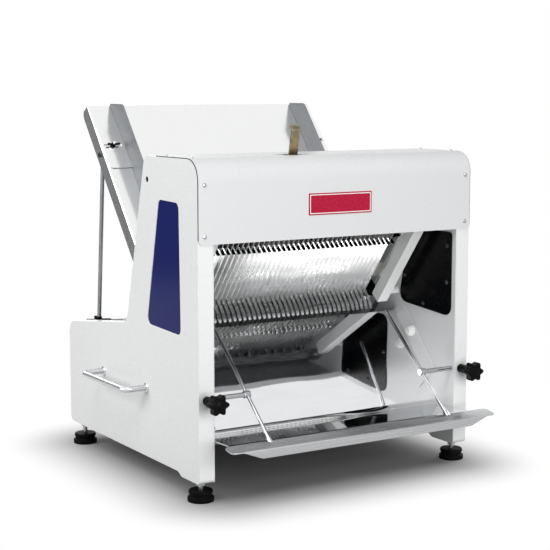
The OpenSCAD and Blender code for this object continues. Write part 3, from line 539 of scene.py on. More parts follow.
def makeCoverSeamShade():
    # thin black strips between the cover's ends and the side frames: painted shade that draws the shadow gap there as
    # a dark line
    step, low = coverSeam["step"], coverSeam["low"]
    front, high = headCover["frontY"] + step, machine["top"] + headCover["sheet"] - step
    radius = headCover["bendRadius"] - step
    seamShadeStrips = bmesh.new()
    for signX in (-1, 1):
        x0, x1 = sorted((signX * coverSeam["inside"], signX * coverSeam["outside"]))
        bm = bentSheet(x0, x1, low, front, radius, high, coverSeam["rearY"])
        alignFaces(bm)
        toSheet(bm, coverSeam["thick"])
        absorb(seamShadeStrips, bm)
    finishPiece("coverSeamShade", seamShadeStrips, blackRubber, "machine")


namePlate = dict(low=(-79.0, 545.5), high=(71.0, 588.5), frontY=-3.5, line=(2.4, 4.2), lineThick=0.5, edge=0.3)


def makeNamePlate():
    x0, z0 = namePlate["low"]
    x1, z1 = namePlate["high"]
    edge = namePlate["edge"]
    field = bmesh.new()
    blockAt(field, (x0, namePlate["frontY"] + edge, z0), (x1, headCover["frontY"], z1), edge, 1)
    finishPiece("namePlateField", field, crimsonEnamel, "machine", ["badge_plate"])
    line = bmesh.new()
    for step in namePlate["line"]:
        outlineFace(line, boxOutline(x0 + step, z0 + step, x1 - step, z1 - step), [2, 2, 2, 2])
    fillWithHoles(line)
    moveAll(line, turnBy("Z", -90))
    thicken(line, (0, namePlate["lineThick"], 0))
    moveAll(line, shiftBy(0, namePlate["frontY"], 0))
    finishPiece("namePlateLine", line, ivoryEnamel, "machine")


makeHeadCover()
makeCoverSeamShade()
makeNamePlate()
print("head cover made")

# pan-head screws with a recess
screw = dict(radius=4.4, height=2.4, recess=1.3, shank=2.3, sunk=1.9, coverX=panelMid + 3, frontZ=(613.0, 516.0),
             topY=(48.0, 152.0), plate=((26, 462), (26, 384), (107, 329), (174, 384), (152, 462)),
             bracketX=innerX - 10, bracketAlong=(-215.0, -197.0), bracketLift=-24.0)
brightSeats, blackSeats = [], []
for signX in (-1, 1):
    for z in screw["frontZ"]:
        brightSeats.append(((signX * screw["coverX"], headCover["frontY"], z), (0, -1, 0)))
    for y in screw["topY"]:
        brightSeats.append(((signX * screw["coverX"], y, machine["top"] + headCover["sheet"]), (0, 0, 1)))
    for y, z in screw["plate"]:
        blackSeats.append(((signX * (innerX - accessPlate["thick"]), y, z), (-signX, 0, 0)))
    for along in screw["bracketAlong"]:
        seat = slideFrame @ Vector((signX * screw["bracketX"], along, screw["bracketLift"]))
        brightSeats.append((tuple(seat), (-signX, 0, 0)))


def makeScrews(name, seats, material, replaced):
    r, h, recess, shank, sunk = pick(screw, "radius", "height", "recess", "shank", "sunk")
    profile = [(0, h * 0.55), (recess, h * 0.55), (recess + 0.4, h), (r * 0.75, h * 0.86), (r * 0.95, h * 0.45),
               (r, 0), (shank, 0), (shank, -sunk), (0, -sunk)]
    bm = bmesh.new()
    for seat, facing in seats:
        turn = Vector((0, 0, 1)).rotation_difference(Vector(facing)).to_matrix().to_4x4()
        addSpun(bm, profile, 20, Matrix.Translation(seat) @ turn)
    finishPiece(name, bm, material, "machine", replaced)


makeScrews("panelScrews", brightSeats, groundSteel, ["panel_screws"])
makeScrews("plateScrews", blackSeats, darkSteel, [])

# infeed chute: one bent sheet with the guides' studs
chute = dict(halfWidth=290.5, run=477.0, flange=32.0, flangeCorner=16.0, fold=4.0, foldSteps=6, lip=14.0, lipFold=3.0,
             sheet=2.0, studX=263.0, studAlong=-114.0, studRadius=2.98, studTop=15.0)


def makeChute():
    bm = bmesh.new()
    half, fold, flange, lipFold = pick(chute, "halfWidth", "fold", "flange", "lipFold")
    edge = lineEdge(bm, (-half, -chute["run"], -flange), (-half, 0, -flange))
    edge = pull(bm, edge, (0, 0, flange - fold))
    edge = bend(bm, edge, (-half + fold, 0, -fold), (0, 1, 0), 90, chute["foldSteps"])
    # narrow strips beside the folds keep their shading off the floor
    for width in (1, 2 * half - 2 * fold - 2, 1):
        edge = pull(bm, edge, (width, 0, 0))
    edge = bend(bm, edge, (half - fold, 0, -fold), (0, 1, 0), 90, chute["foldSteps"])
    pull(bm, edge, (0, 0, fold - flange))
    weld(bm)
    ends = [v for v in bm.verts if v.co.z < -flange + 0.1 and v.co.y > -1]
    roundOff(bm, ends, chute["flangeCorner"], 4, "VERTICES")
    topEdge = [e for e in bm.edges if e.is_boundary and all(v.co.y > -0.1 and v.co.z > -0.1 for v in e.verts)]
    edge = bend(bm, topEdge, (0, 0, -lipFold), (1, 0, 0), -90, 4)
    pull(bm, edge, (0, 0, lipFold - chute["lip"]))
    bmesh.ops.translate(bm, vec=(0, -lipFold, 0), verts=[v for v in bm.verts if v.co.y > -0.01])
    faceUp(bm)
    toSheet(bm, chute["sheet"] - 0.1)
    for signX in (-1, 1):
        x, y = signX * chute["studX"], chute["studAlong"]
        rodAlong(bm, (x, y, -1), (x, y, chute["studTop"]), chute["studRadius"], 16, 0.6)
    finishPiece("infeedChute", bm, chuteSteel, "machine", ["infeed_chute"], place=chuteFrame)


# a black plate under the chute's lower end, behind the blades: painted shade that darkens a bright spot seen there
shadePlate = dict(half=288.0, low=325.0, high=402.0, y=284.0, sheet=2.0)


def makeShadePlate():
    bm = bmesh.new()
    half, y = shadePlate["half"], shadePlate["y"]
    blockAt(bm, (-half, y, shadePlate["low"]), (half, y + shadePlate["sheet"], shadePlate["high"]), 0.5)
    finishPiece("chuteShadePlate", bm, blackCoat, "machine")


# black brackets that the chute's struts stand in, and the seal along the base's upper edge
strutFoot = dict(x=284.0, y=536.0, z=279.0, slope=-7.3, plate=(-16.0, 34.0, -22.0, 3.0), thick=5.0,
                 cup=11.0, cupRadius=6.6, lean=-0.8, bolt=(7.0, 9.0, 12.0, 4.0), trim=(-186.0, 56.0, 3.6, 5.6, 5.5))


def makeStrutFeet():
    bm = bmesh.new()
    y0, y1, x0, x1 = strutFoot["plate"]
    inX, inY, boltTop, boltRadius = strutFoot["bolt"]
    front, rear, inside, outside, tall = strutFoot["trim"]
    place = shiftBy(strutFoot["x"], 0, 0) @ tilted(strutFoot["slope"], strutFoot["y"], strutFoot["z"])
    for signX in (-1, 1):
        one = bmesh.new()
        blockAt(one, (x0, y0, 0), (x1, y1, strutFoot["thick"]), 0.5)
        rodAlong(one, (0, 0, 0.5), (0, strutFoot["lean"], strutFoot["cup"]), strutFoot["cupRadius"], 24, 0.8)
        rodAlong(one, (x1 - inX, y1 - inY, 1), (x1 - inX, y1 - inY, boltTop), boltRadius, 18, 1.2)
        blockAt(one, (inside, front, 0), (outside, rear, tall), 0.5)
        absorb(bm, one, Matrix.Diagonal((signX, 1, 1, 1)) @ place)
    finishPiece("strutFeet", bm, blackRubber, "machine")


# loaf guides and their wing nuts
loafGuide = dict(x=235.0, lower=495.0, upper=2.0, height=53.0, sheet=2.0, lift=0.2, corners=[0, 4, 14, 8],
                 foot=(235.2, -174.0, 287.5, -54.0), footCorners=[0, 8, 8, 0], slot=(242.0, 284.0, 3.3))
wingNut = dict(lift=2.5, bore=3.05, hub=5.4, height=7.5, wing=15.0, thick=2.8)


def makeLoafGuide(name, mirrored, side):
    tall, lower, upper, lift = pick(loafGuide, "height", "lower", "upper", "lift")
    tip = tall / math.tan(chuteRise)
    bm = outlinePlate([(-lower, lift), (upper, lift), (upper - tip, tall), (-lower, tall)], loafGuide["corners"],
                      loafGuide["x"] - 1, loafGuide["sheet"], 8, 0.5)
    finishPiece("loafGuide" + name, bm, guideSteel, "guide_" + side, ["loaf_guide_" + side],
                place=chuteFrame, mirrored=mirrored)
    foot = bmesh.new()
    x0, x1, half = loafGuide["slot"]
    middle = chute["studAlong"]
    outlineFace(foot, boxOutline(*loafGuide["foot"]), loafGuide["footCorners"])
    outlineFace(foot, boxOutline(x0, middle - half, x1, middle + half), [3, 3, 3, 3])
    fillWithHoles(foot)
    moveAll(foot, shiftBy(0, 0, lift) @ layFlat)
    thicken(foot, (0, 0, loafGuide["sheet"]))
    finishPiece("guideFoot" + name, foot, chuteSteel, "guide_" + side, place=chuteFrame,
                mirrored=mirrored)


def makeWingNut(name, mirrored, side):
    bm = bmesh.new()
    bore, hub, tall, wide, thick = pick(wingNut, "bore", "hub", "height", "wing", "thick")
    spunPiece(bm, [(bore, 0), (hub - 0.6, 0), (hub, 0.8), (hub - 0.8, tall - 1.5), (hub - 2, tall), (bore, tall),
                   (bore, 0)], 28)
    for sign in (-1, 1):
        wing = outlinePlate([(3.6, 2.2), (8, 2.2), (wide, 4.4), (wide - 0.3, 8.4), (9, 7.6), (3.6, 5.6)],
                            [0, 2, 1.6, 1.6, 3, 0], -thick / 2, thick, 4, 0.8)
        absorb(bm, wing, turnBy("Z", 90 * sign))
    moveAll(bm, shiftBy(chute["studX"], chute["studAlong"], wingNut["lift"]))
    finishPiece("wingNut" + name, bm, blackAbs, "nut_" + side, ["wing_nut_" + side],
                place=chuteFrame, mirrored=mirrored)


makeChute()
makeShadePlate()
makeStrutFeet()
for name, mirrored, side in sides:
    makeLoafGuide(name, mirrored, side)
    makeWingNut(name, mirrored, side)
print("chute made")

# blades: scalloped on the loaf side, hooked on pins
blade = dict(width=12.0, thick=1.0, low=-134.0, high=barTop + 9.0, tooth=9.0, depth=1.3,
             pinAt=(barTop, -125.0), pinSpan=(-1.2, 5.2), pinRadius=2.2)
halfRow = (2 * machine["bladesEach"] - 1) / 2 * machine["pitch"]


def makeBlades(name, first, body, node):
    low, high, thick = blade["low"], blade["high"], blade["thick"]
    tall = high - low
    steps = int(tall / blade["tooth"]) * 2
    stride = tall / steps
    single = bmesh.new()
    bmesh.ops.create_grid(single, x_segments=1, y_segments=steps, size=0.5)
    moveAll(single, shiftBy(0, 0, (high + low) / 2) @ turnBy("Z", 90) @ turnBy("X", 90)
            @ Matrix.Diagonal((blade["width"], tall, 1, 1)))
    for v in single.verts:
        if v.co.y > 0 and round((v.co.z - low) / stride) % 2:
            v.co.y -= blade["depth"]
    thicken(single, (thick, 0, 0))
    moveAll(single, shiftBy(-thick / 2, 0, 0))
    bm = bmesh.new()
    pins = bmesh.new()
    near, far = blade["pinSpan"]
    for i in range(machine["bladesEach"]):
        x = first + 2 * machine["pitch"] * i
        absorb(bm, single.copy(), shiftBy(x, 0, 0))
        for z in blade["pinAt"]:
            rodAlong(pins, (x + near, 0, z), (x + far, 0, z), blade["pinRadius"], 10, 0.4)
    single.free()
    finishPiece(name, bm, bladeSteel, body, [node], place=bladeFrame)
    finishPiece(name + "Pins", pins, groundSteel, body, place=bladeFrame)


makeBlades("bladesFront", -halfRow, "blade_frame_a", "blades_a")
makeBlades("bladesRear", machine["pitch"] - halfRow, "blade_frame_b", "blades_b")
print("blades made")

# lower comb, which carries the loaf between the blades
lowerComb = dict(finger=7.5, top=-2.0, thick=4.0, tip=-45.7, root=14.0, baseHalf=236.0, baseStart=12.0, baseEnd=75.0,
                 bendAt=-30.0, droop=16.0)


def roundTip(bm, tip, width, segments):
    corners = [e for e in bm.edges if all(v.co.y < tip + 0.1 for v in e.verts)
               and abs(e.verts[0].co.z - e.verts[1].co.z) > 1]
    roundOff(bm, corners, width / 2 * 0.95, segments)


def fingerRow(bm, single, y=0.0):
    softenEdges(single, 0.4, 1, 1.0)
    for x in fingerSpots:
        absorb(bm, single.copy(), shiftBy(x, y, 0))
    single.free()


def makeLowerComb():
    bm = bmesh.new()
    top, low = lowerComb["top"], lowerComb["top"] - lowerComb["thick"]
    half, tip, bendAt = lowerComb["finger"] / 2, lowerComb["tip"], lowerComb["bendAt"]
    blockAt(bm, (-lowerComb["baseHalf"], lowerComb["baseStart"] - chuteLength, low),
            (lowerComb["baseHalf"], lowerComb["baseEnd"] - chuteLength, top), 0.6)
    single = bmesh.new()
    blockAt(single, (-half, tip, low), (half, lowerComb["root"], top))
    cutThrough(single, (0, bendAt, 0), (0, 1, 0))
    roundTip(single, tip, lowerComb["finger"], 4)
    bmesh.ops.rotate(single, cent=(0, bendAt, low), matrix=turnBy("X", lowerComb["droop"]).to_3x3(),
                     verts=[v for v in single.verts if v.co.y < bendAt - 0.1])
    fingerRow(bm, single, -chuteLength)
    finishPiece("lowerComb", bm, sheetSteel, "machine", ["lower_comb"], place=chuteFrame)


# hold-down comb on its two arms, with black rubber facings on its fingers and a black pad under it that is painted
# shade, making the gaps between the fingers dark
holdComb = dict(finger=4.5, thick=3.0, tip=-12.0, root=52.0, barHalf=272.0, barStart=50.0, barEnd=85.0,
                arm=269.5, armThick=5.0, armFoot=(67.0, 1.5), shaft=(75.0, 640.0), boss=(262.0, 277.0, 12.0),
                shadePadHalf=262.0, pad=(10.0, 52.0, 2.0), shadePadGap=0.2, facing=(7.6, -12.6, 50.0, 1.2))


def makeHoldComb():
    half, thick, tip = holdComb["finger"] / 2, holdComb["thick"], holdComb["tip"]
    bar = bmesh.new()
    wide = holdComb["barHalf"]
    blockAt(bar, (-wide, holdComb["barStart"], 0), (wide, holdComb["barEnd"], thick), 0.6)
    single = bmesh.new()
    blockAt(single, (-half, tip, 0), (half, holdComb["root"], thick))
    roundTip(single, tip, holdComb["finger"], 3)
    fingerRow(bar, single)
    bm = bmesh.new()
    absorb(bm, bar, combFrame)
    foot = combFrame @ Vector((0, *holdComb["armFoot"]))
    shaft = Vector((0, *holdComb["shaft"]))
    reach = (shaft - foot).length
    slope = math.degrees(math.atan2(shaft.z - foot.z, shaft.y - foot.y))
    near, far, bossRadius = holdComb["boss"]
    for signX in (-1, 1):
        arm = outlinePlate([(-10, -9), (reach + 13, -13), (reach + 13, 13), (-10, 9)], [8, 11, 11, 8],
                           -holdComb["armThick"] / 2, holdComb["armThick"], 6, 0.7)
        absorb(bm, arm, shiftBy(signX * holdComb["arm"], foot.y, foot.z) @ turnBy("X", slope))
        rodAlong(bm, (signX * near, shaft.y, shaft.z), (signX * far, shaft.y, shaft.z), bossRadius, 28, 1.2)
    finishPiece("holdDownComb", bm, sheetSteel, "hold_down", ["hold_down_comb"])


def makeHoldShadePadAndFacings():
    pad = bmesh.new()
    half, gap = holdComb["shadePadHalf"], holdComb["shadePadGap"]
    y0, y1, deep = holdComb["pad"]
    # the black pad under the comb is painted shade for the gaps between the fingers
    blockAt(pad, (-half, y0, -deep - gap), (half, y1, -gap), 0.5)
    width, y0, y1, deep = holdComb["facing"]
    top = holdComb["thick"]
    for x in fingerSpots:
        blockAt(pad, (x - width / 2, y0, top), (x + width / 2, y1, top + deep), 0.3, 1)
    finishPiece("holdDownShadePadAndFacings", pad, blackRubber, "hold_down", place=combFrame)


# hold-down lever: a flat bar with a turned tip on a round hub
lever = dict(low=-81.0, high=-61.0, thick=4.0, reach=78.0, lean=12.0, tip=12.0, tipRise=10.0, bend=5.0, hub=12.0,
             screw=(-12.5, -10.0, 3.0))


def makeLever():
    bm = bmesh.new()
    low, high, reach, radius, hub = pick(lever, "low", "high", "reach", "bend", "hub")
    edge = lineEdge(bm, (low, 0, 0), (high, 0, 0))
    edge = pull(bm, edge, (0, 0, reach - radius - 2))
    edge = pull(bm, edge, (0, 0, 0.5))
    edge = bend(bm, edge, (0, radius, reach - radius - 1.5), (1, 0, 0), lever["tipRise"] - 90, 6)
    pull(bm, edge, slopeLine(lever["tipRise"]) * (lever["tip"] - radius))
    weld(bm)
    roundOff(bm, [v for v in bm.verts if v.co.y > lever["tip"] - 2], 4, 4, "VERTICES")
    toSheet(bm, lever["thick"] - 0.4)
    softenEdges(bm, 0.5, 2, 1.0)
    rodAlong(bm, (low - 1, 0, 0), (high + 1, 0, 0), hub, 30, 1.0)
    middle = (low + high) / 2
    outer, inner, radius = lever["screw"]
    rodAlong(bm, (middle, outer, 0), (middle, inner, 0), radius, 12, 0.5)
    finishPiece("holdDownLever", bm, zincLever, "hold_down", ["hold_down_lever"],
                place=tilted(lever["lean"], *holdComb["shaft"]))


makeLowerComb()
makeHoldComb()
makeHoldShadePadAndFacings()
makeLever()
print("combs made")

# guide channels beside the blades
channel = dict(inner=238.0, outer=264.0, web=42.0, mouth=14.0, wall=3.0, length=barTop - 35.0,
               spacers=(20.0, barTop - 65.0), spacerY=28.0, spacerRadius=8.0, headRadius=4.5)


def makeChannels():
    bm = bmesh.new()
    x0, x1, y0, y1, w = pick(channel, "inner", "outer", "mouth", "web", "wall")
    y = channel["spacerY"]
    corners = [(x0, y0), (x0 + w, y0), (x0 + w, y1 - w), (x1 - w, y1 - w), (x1 - w, y0), (x1, y0), (x1, y1), (x0, y1)]
    for signX in (-1, 1):
        for signY in (-1, 1):
            one = bmesh.new()
            one.faces.new([one.verts.new((*corner, 0)) for corner in corners])
            thicken(one, (0, 0, channel["length"]))
            softenEdges(one, 0.9, 3, 1.0)
            for z in channel["spacers"]:
                rodAlong(one, (x1 - 1, y, z), (innerX, y, z), channel["spacerRadius"], 24, 0.8)
                rodAlong(one, (x0 + w - 1.5, y, z), (x0 + w + 0.2, y, z), channel["headRadius"], 18, 0.3)
            absorb(bm, one, Matrix.Diagonal((signX, signY, 1, 1)))
    alignFaces(bm)
    finishPiece("guideChannels", bm, whiteCoat, "machine", ["guide_channels"], place=bladeFrame)


# polished outfeed slide, its cheeks and their white bolt caps
slide = dict(halfWidth=290.5, run=230.0, sink=8.0, bendRadius=30.0, turn=50.0, tail=82.0, sheet=2.0,
             cheek=(-180.0, -12.0, -8.0, 30.0), steps=24)
slideCap = dict(along=-71.0, lift=17.0, radius=12.0, thick=14.0)


def makeSlide():
    bm = bmesh.new()
    half, run, sink, radius = pick(slide, "halfWidth", "run", "sink", "bendRadius")
    edge = lineEdge(bm, (-half, 0, -sink), (half, 0, -sink))
    edge = pull(bm, edge, (0, -run, 0))
    edge = bend(bm, edge, (0, -run, radius - sink), (1, 0, 0), -slide["turn"], slide["steps"])
    pull(bm, edge, slopeLine(180 - slide["turn"]) * slide["tail"])
    weld(bm)
    faceUp(bm)
    toSheet(bm, slide["sheet"] - 0.1)
    finishPiece("outfeedSlide", bm, slideMirror, "machine", ["outfeed_slide"], place=slideFrame)
    cheeks = bmesh.new()
    y0, y1, z0, z1 = slide["cheek"]
    for signX in (-1, 1):
        x0, x1 = sorted((signX * half, signX * (half - slide["sheet"])))
        blockAt(cheeks, (x0, y0, z0), (x1, y1, z1), 0.5)
    finishPiece("slideCheeks", cheeks, paleCoat, "machine", place=slideFrame)


def makeSlideCaps():
    bm = bmesh.new()
    r, t = slideCap["radius"], slideCap["thick"]
    profile = [(0, 0), (r - 0.5, 0), (r, 1), (r, t * 0.5), (r - 1.5, t * 0.66), (r - 3, t * 0.72), (r - 3.4, t - 1),
               (r - 5, t), (0, t)]
    for signX in (-1, 1):
        seat = shiftBy(signX * (slide["halfWidth"] - slide["sheet"]), slideCap["along"], slideCap["lift"])
        addSpun(bm, profile, 32, seat @ turnBy("Y", -90 * signX))
    finishPiece("slideCaps", bm, capPlastic, "machine", ["slide_caps"], place=slideFrame)


makeChannels()
makeSlide()
makeSlideCaps()

# outfeed rack: rods, stub shafts and lip bar
rack = dict(pivot=(10.0, 202.0), slope=41.0, rodX=213.0, rod=3.5, stub=4.98, up=173.0, down=118.0, stubEnd=324.4,
            collar=(-6.0, 8.0, 7.5), foot=7.0, ferrule=(9.0, 4.0, 5.6))
lipBar = dict(half=315.0, rear=5.0, run=30.3, corners=[8, 8, 12, 12], tilt=8.0, at=(-80.0, 127.77), sheet=3.0,
              edge=0.8, frontY=-112.0, frontStep=0.6, frontInset=(20.0, 65.0), drop=17.0)


def makeRack():
    bm = bmesh.new()
    y, z = rack["pivot"]
    along = slopeLine(rack["slope"])
    near, far, collarRadius = rack["collar"]
    below, above, ferruleRadius = rack["ferrule"]
    for signX in (-1, 1):
        mid = Vector((signX * rack["rodX"], y, z))
        rodAlong(bm, mid - along * rack["down"], mid + along * rack["up"], rack["rod"], 24, 0.8)
        rodAlong(bm, mid, (signX * rack["stubEnd"], y, z), rack["stub"], 24, 0.6)
        rodAlong(bm, mid + Vector((signX * near, 0, 0)), mid + Vector((signX * far, 0, 0)), collarRadius, 24, 1.0)
        foot = mid - along * (rack["down"] - rack["foot"])
        rodAlong(bm, foot - along * below, foot + along * above, ferruleRadius, 20, 1.0)
    finishPiece("outfeedRods", bm, chromeRod, "outfeed_rack", ["outfeed_rods"])


def makeLipBar():
    bm = bmesh.new()
    half, run, edge = lipBar["half"], lipBar["run"], lipBar["edge"]
    plate = bmesh.new()
    outlineFace(plate, boxOutline(-half, -run, half, lipBar["rear"]), lipBar["corners"])
    moveAll(plate, layFlat)
    thicken(plate, (0, 0, -lipBar["sheet"]))
    softenEdges(plate, edge, 2, 1.0)
    absorb(bm, plate, tilted(lipBar["tilt"], *lipBar["at"]))
    front = bmesh.new()
    top = lipBar["at"][1] - run * math.sin(math.radians(lipBar["tilt"])) - lipBar["frontStep"]
    low = top - lipBar["drop"]
    topHalf, lowHalf = (half - inset for inset in lipBar["frontInset"])
    corners = [(-topHalf, top), (topHalf, top), (lowHalf, low), (-lowHalf, low)]
    front.faces.new([front.verts.new((x, lipBar["frontY"], z)) for x, z in corners])
    thicken(front, (0, lipBar["sheet"], 0))
    softenEdges(front, edge, 2, 1.0)
    absorb(bm, front)
    finishPiece("lipBar", bm, barSteel, "outfeed_rack", ["lip_bar"])


makeRack()
makeLipBar()
print("outfeed made")

# star knobs with their studs
starKnob = dict(radius=21.0, lobes=6, wave=3.0, near=34.0, far=54.0, edge=3.2, neck=9.0, height=202.0,
                stud=(-4.7, 2.0, 3.98))


def makeStarKnob(name, mirrored, side):
    bm = bmesh.new()
    radius, wave, near, far, r = pick(starKnob, "radius", "wave", "near", "far", "neck")
    grip = bmesh.new()
    bmesh.ops.create_circle(grip, cap_ends=True, segments=96, radius=radius)
    for v in grip.verts:
        lobe = math.cos(starKnob["lobes"] * math.atan2(v.co.y, v.co.x))
        scale = (radius - wave + wave * lobe) / radius
        v.co.x *= scale
        v.co.y *= scale
    thicken(grip, (0, 0, far - near))
    softenEdges(grip, starKnob["edge"], 4, 1.0)
    absorb(bm, grip, shiftBy(0, 0, near))
    addSpun(bm, [(0, 0.5), (r - 0.8, 0.5), (r, 1.3), (r, 20), (r + 1, 26), (r + 3, near + 0.5), (0, near + 0.5)], 32)
    addSpun(bm, [(0, far + 1.4), (6, far + 1.2), (8.5, far + 0.4), (9.2, far - 0.6), (0, far - 0.6)], 28)
    low, high, studRadius = starKnob["stud"]
    rodAlong(bm, (0, 0, low), (0, 0, high), studRadius, 20, 0.6)
    finishPiece("starKnob" + name, bm, blackAbs, "knob_" + side, ["star_knob_" + side],
                place=shiftBy(panelMid, 0, starKnob["height"]) @ turnBy("X", 90), mirrored=mirrored)


# carry handles
handle = dict(reach=49.0, rod=6.0, half=102.0, bend=14.0, bendSteps=10, y=324.0, z=190.0)


def makeHandle(name, mirrored, side):
    bm = bmesh.new()
    reach, half, turn, r = pick(handle, "reach", "half", "bend", "rod")
    bmesh.ops.create_circle(bm, cap_ends=False, segments=28, radius=r,
                            matrix=shiftBy(0, -half, 0) @ turnBy("Y", 90))
    edge = pull(bm, bm.edges[:], (reach - turn, 0, 0))
    edge = bend(bm, edge, (reach - turn, turn - half, 0), (0, 0, 1), 90, handle["bendSteps"])
    edge = pull(bm, edge, (0, 2 * half - 2 * turn, 0))
    edge = bend(bm, edge, (reach - turn, half - turn, 0), (0, 0, 1), 90, handle["bendSteps"])
    pull(bm, edge, (turn - reach, 0, 0))
    weld(bm)
    bmesh.ops.holes_fill(bm, edges=[e for e in bm.edges if e.is_boundary], sides=0)
    collar = [(r - 0.5, 0), (r + 4, 0), (r + 4, 1.6), (r + 3, 2.6), (r + 0.4, 3.4), (r - 0.5, 3.4), (r - 0.5, 0)]
    for sign in (-1, 1):
        addSpun(bm, collar, 32, shiftBy(0, sign * half, 0) @ turnBy("Y", 90))
    finishPiece("carryHandle" + name, bm, sheetSteel, "machine", ["carry_handle_" + side],
                place=shiftBy(machine["halfWidth"], handle["y"], handle["z"]), mirrored=mirrored)


for name, mirrored, side in sides:
    makeStarKnob(name, mirrored, side)
    makeHandle(name, mirrored, side)

# levelling feet
footPad = dict(radius=26.0, height=23.0, hub=8.0, ys=(26.0, 568.0))


def makeFeet():
    bm = bmesh.new()
    r, h = footPad["radius"], footPad["height"]
    profile = [(0, 0), (r - 1.5, 0), (r - 0.4, 0.5), (r, 1.6), (r, 8.4), (r - 0.8, 9.6), (r - 3.6, 10.8),
               (r - 4, 11.6), (r - 4, 15.6), (r - 3.4, 16.6), (r - 2.2, 17), (r - 2, 18), (r - 2.6, h - 1.2),
               (r - 4, h), (footPad["hub"], h), (0, h)]
    for signX in (-1, 1):
        for y in footPad["ys"]:
            addSpun(bm, profile, 44, shiftBy(signX * panelMid, y, 0))
    finishPiece("footPads", bm, blackRubber, "machine", ["foot_pads"])


# rear louvre hoods, switch plate and buttons
louvre = dict(width=44.0, low=-1.0, height=9.0, out=6.0, topOut=0.8, edge=0.8, xs=range(-150, 151, 50),
              zs=(120.0, 136.0, 152.0, 168.0), y=588.0)


def makeLouvres():
    bm = bmesh.new()
    half, y = louvre["width"] / 2, louvre["y"]
    for x in louvre["xs"]:
        for z in louvre["zs"]:
            hood = bmesh.new()
            blockAt(hood, (x - half, y, z + louvre["low"]), (x + half, y + louvre["out"], z + louvre["height"]))
            for v in hood.verts:
                if v.co.y > y + 1 and v.co.z > z + 1:
                    v.co.y = y + louvre["topOut"]
            softenEdges(hood, louvre["edge"], 2, 0.5)
            absorb(bm, hood)
    finishPiece("rearLouvres", bm, paleCoat, "machine")


switchPlate = dict(outline=boxOutline(61, 208, 151, 264), corner=8, ys=(86.0, 126.0), z=236.0, thick=5.0, edge=1.6,
                   ring=(7.2, 11.0, 0.9), ringSink=0.2)
button = dict(stem=6.9, back=-10.0, face=9.0,
              start=[(10.2, 9), (11, 9.8), (11, 13.6), (10, 14.8), (5, 15), (0, 15)],
              stop=[(14, 9), (15, 10), (14.8, 12.4), (12.6, 15.2), (8, 17.2), (3, 17.9), (0, 18)])


def makeSwitch():
    outer = machine["halfWidth"]
    bm = bmesh.new()
    outlineFace(bm, switchPlate["outline"], [switchPlate["corner"]] * 4, outer)
    thicken(bm, (switchPlate["thick"], 0, 0))
    softenEdges(bm, switchPlate["edge"], 3, 1.0, lambda e: all(v.co.x > outer + 1 for v in e.verts))
    inner, wide, tall = switchPlate["ring"]
    ring = [(inner, 0), (wide, 0), (wide, 0.5), (wide - 0.6, tall), (inner, tall), (inner, 0)]
    for y in switchPlate["ys"]:
        seat = shiftBy(outer + switchPlate["thick"] - switchPlate["ringSink"], y, switchPlate["z"])
        addSpun(bm, ring, 32, seat @ turnBy("Y", 90))
    finishPiece("switchPlate", bm, greyAbs, "machine", ["switch_plate"])
    stem = [(0, button["back"]), (button["stem"], button["back"]), (button["stem"], button["face"])]
    for which, y, material, slot in (("start", switchPlate["ys"][0], greenAbs, "green_plastic"),
                                     ("stop", switchPlate["ys"][1], redAbs, "red_plastic")):
        bm = bmesh.new()
        spunPiece(bm, stem + button[which], 36)
        finishPiece(which + "Button", bm, material, which + "_button", [which + "_button"],
                    place=shiftBy(outer, y, switchPlate["z"]) @ turnBy("Y", 90))


makeFeet()
makeLouvres()
makeSwitch()
print("fittings made")

# finishes of the CAD nodes that stay
keptNodes = (
    (groundSteel, "tie_bar", "foot_studs", "clamp_bosses", "blade_frame_a", "blade_frame_b", "crankshaft",
     "motor_shaft", "hold_down_shaft"),
    # the inner covers take the pale coat, a darker copy of the frames' white paint: painted shade for the walls
    # inside the machine
    (paleCoat, "inner_cover_left", "inner_cover_right", "rear_panel"), (whiteCoat, "slide_brackets"),
    (sheetSteel, "base_floor", "rear_guard"), (guideSteel, "base_top"), (strutSteel, "chute_struts"),
    (darkSteel, "frame_bolts"), (castAlloy, "motor", "con_rods_a", "con_rods_b"),
    (greyIron, "crank_bearings", "eccentrics", "crank_pulley", "motor_pulley"), (blackAbs, "cord_gland"),
    (blackRubber, "drive_belt"), (nylonWhite, "guide_shoes_a", "guide_shoes_b"))
for material, *nodeNames in keptNodes:
    for nodeName in nodeNames:
        node = cadNodes[nodeName]
        node.data.materials.clear()
        node.data.materials.append(material)
print("finishes set")

# floor, light and camera, in metres
# the floor's grey near the machine is painted shade that deepens its shadow
studio = dict(floor=16.0, floorShadeHex="#8E8E8E", shadeAt=(0.0, 0.04, 0.0), shadeHalf=(0.26, 0.26, 1.0),
              clear=(0.0, 0.24), skyLight=0.10, cardHex="#A2A3A6", cardAt=(-1.7, 2.5, 0.6), cardSize=(2.6, 1.7))
# name: place, target, size, power
lamps = dict(keyLight=((-1.4, -1.2, 2.5), (0, 0, 0.4), 1.3, 37.0),
             frontLight=((0.0, -2.4, 0.65), (0.1, 0, 0.38), 1.2, 35.0),
             fillLight=((-2.4, 0.4, 1.2), (0, 0, 0.3), 1.4, 34.0),
             sideLight=((2.4, 0.4, 1.2), (0, 0, 0.3), 1.4, 26.0),
             rearLight=((0.3, 2.6, 1.5), (0, 0, 0.3), 1.4, 26.0))
photoCamera = dict(place=(-1587.0, -2322.0, 788.0), yaw=31.66, pitch=7.41, focalPixels=1419.0, frame=550.0,
                   sensor=36.0, clipEnd=60.0)


def straightRays(tree):
    # 1 for rays from the camera, a reflection or a clear pane, 0 for scattered light
    path = addNode(tree, "ShaderNodeLightPath")
    seen = path.outputs["Is Camera Ray"]
    for ray in ("Is Glossy Ray", "Is Transmission Ray"):
        seen = addNode(tree, "ShaderNodeMath", {0: seen, 1: path.outputs[ray]}, operation="MAXIMUM").outputs[0]
    return seen


def vectorStep(tree, operation, *values):
    return addNode(tree, "ShaderNodeVectorMath", dict(enumerate(values)), operation=operation).outputs[0]


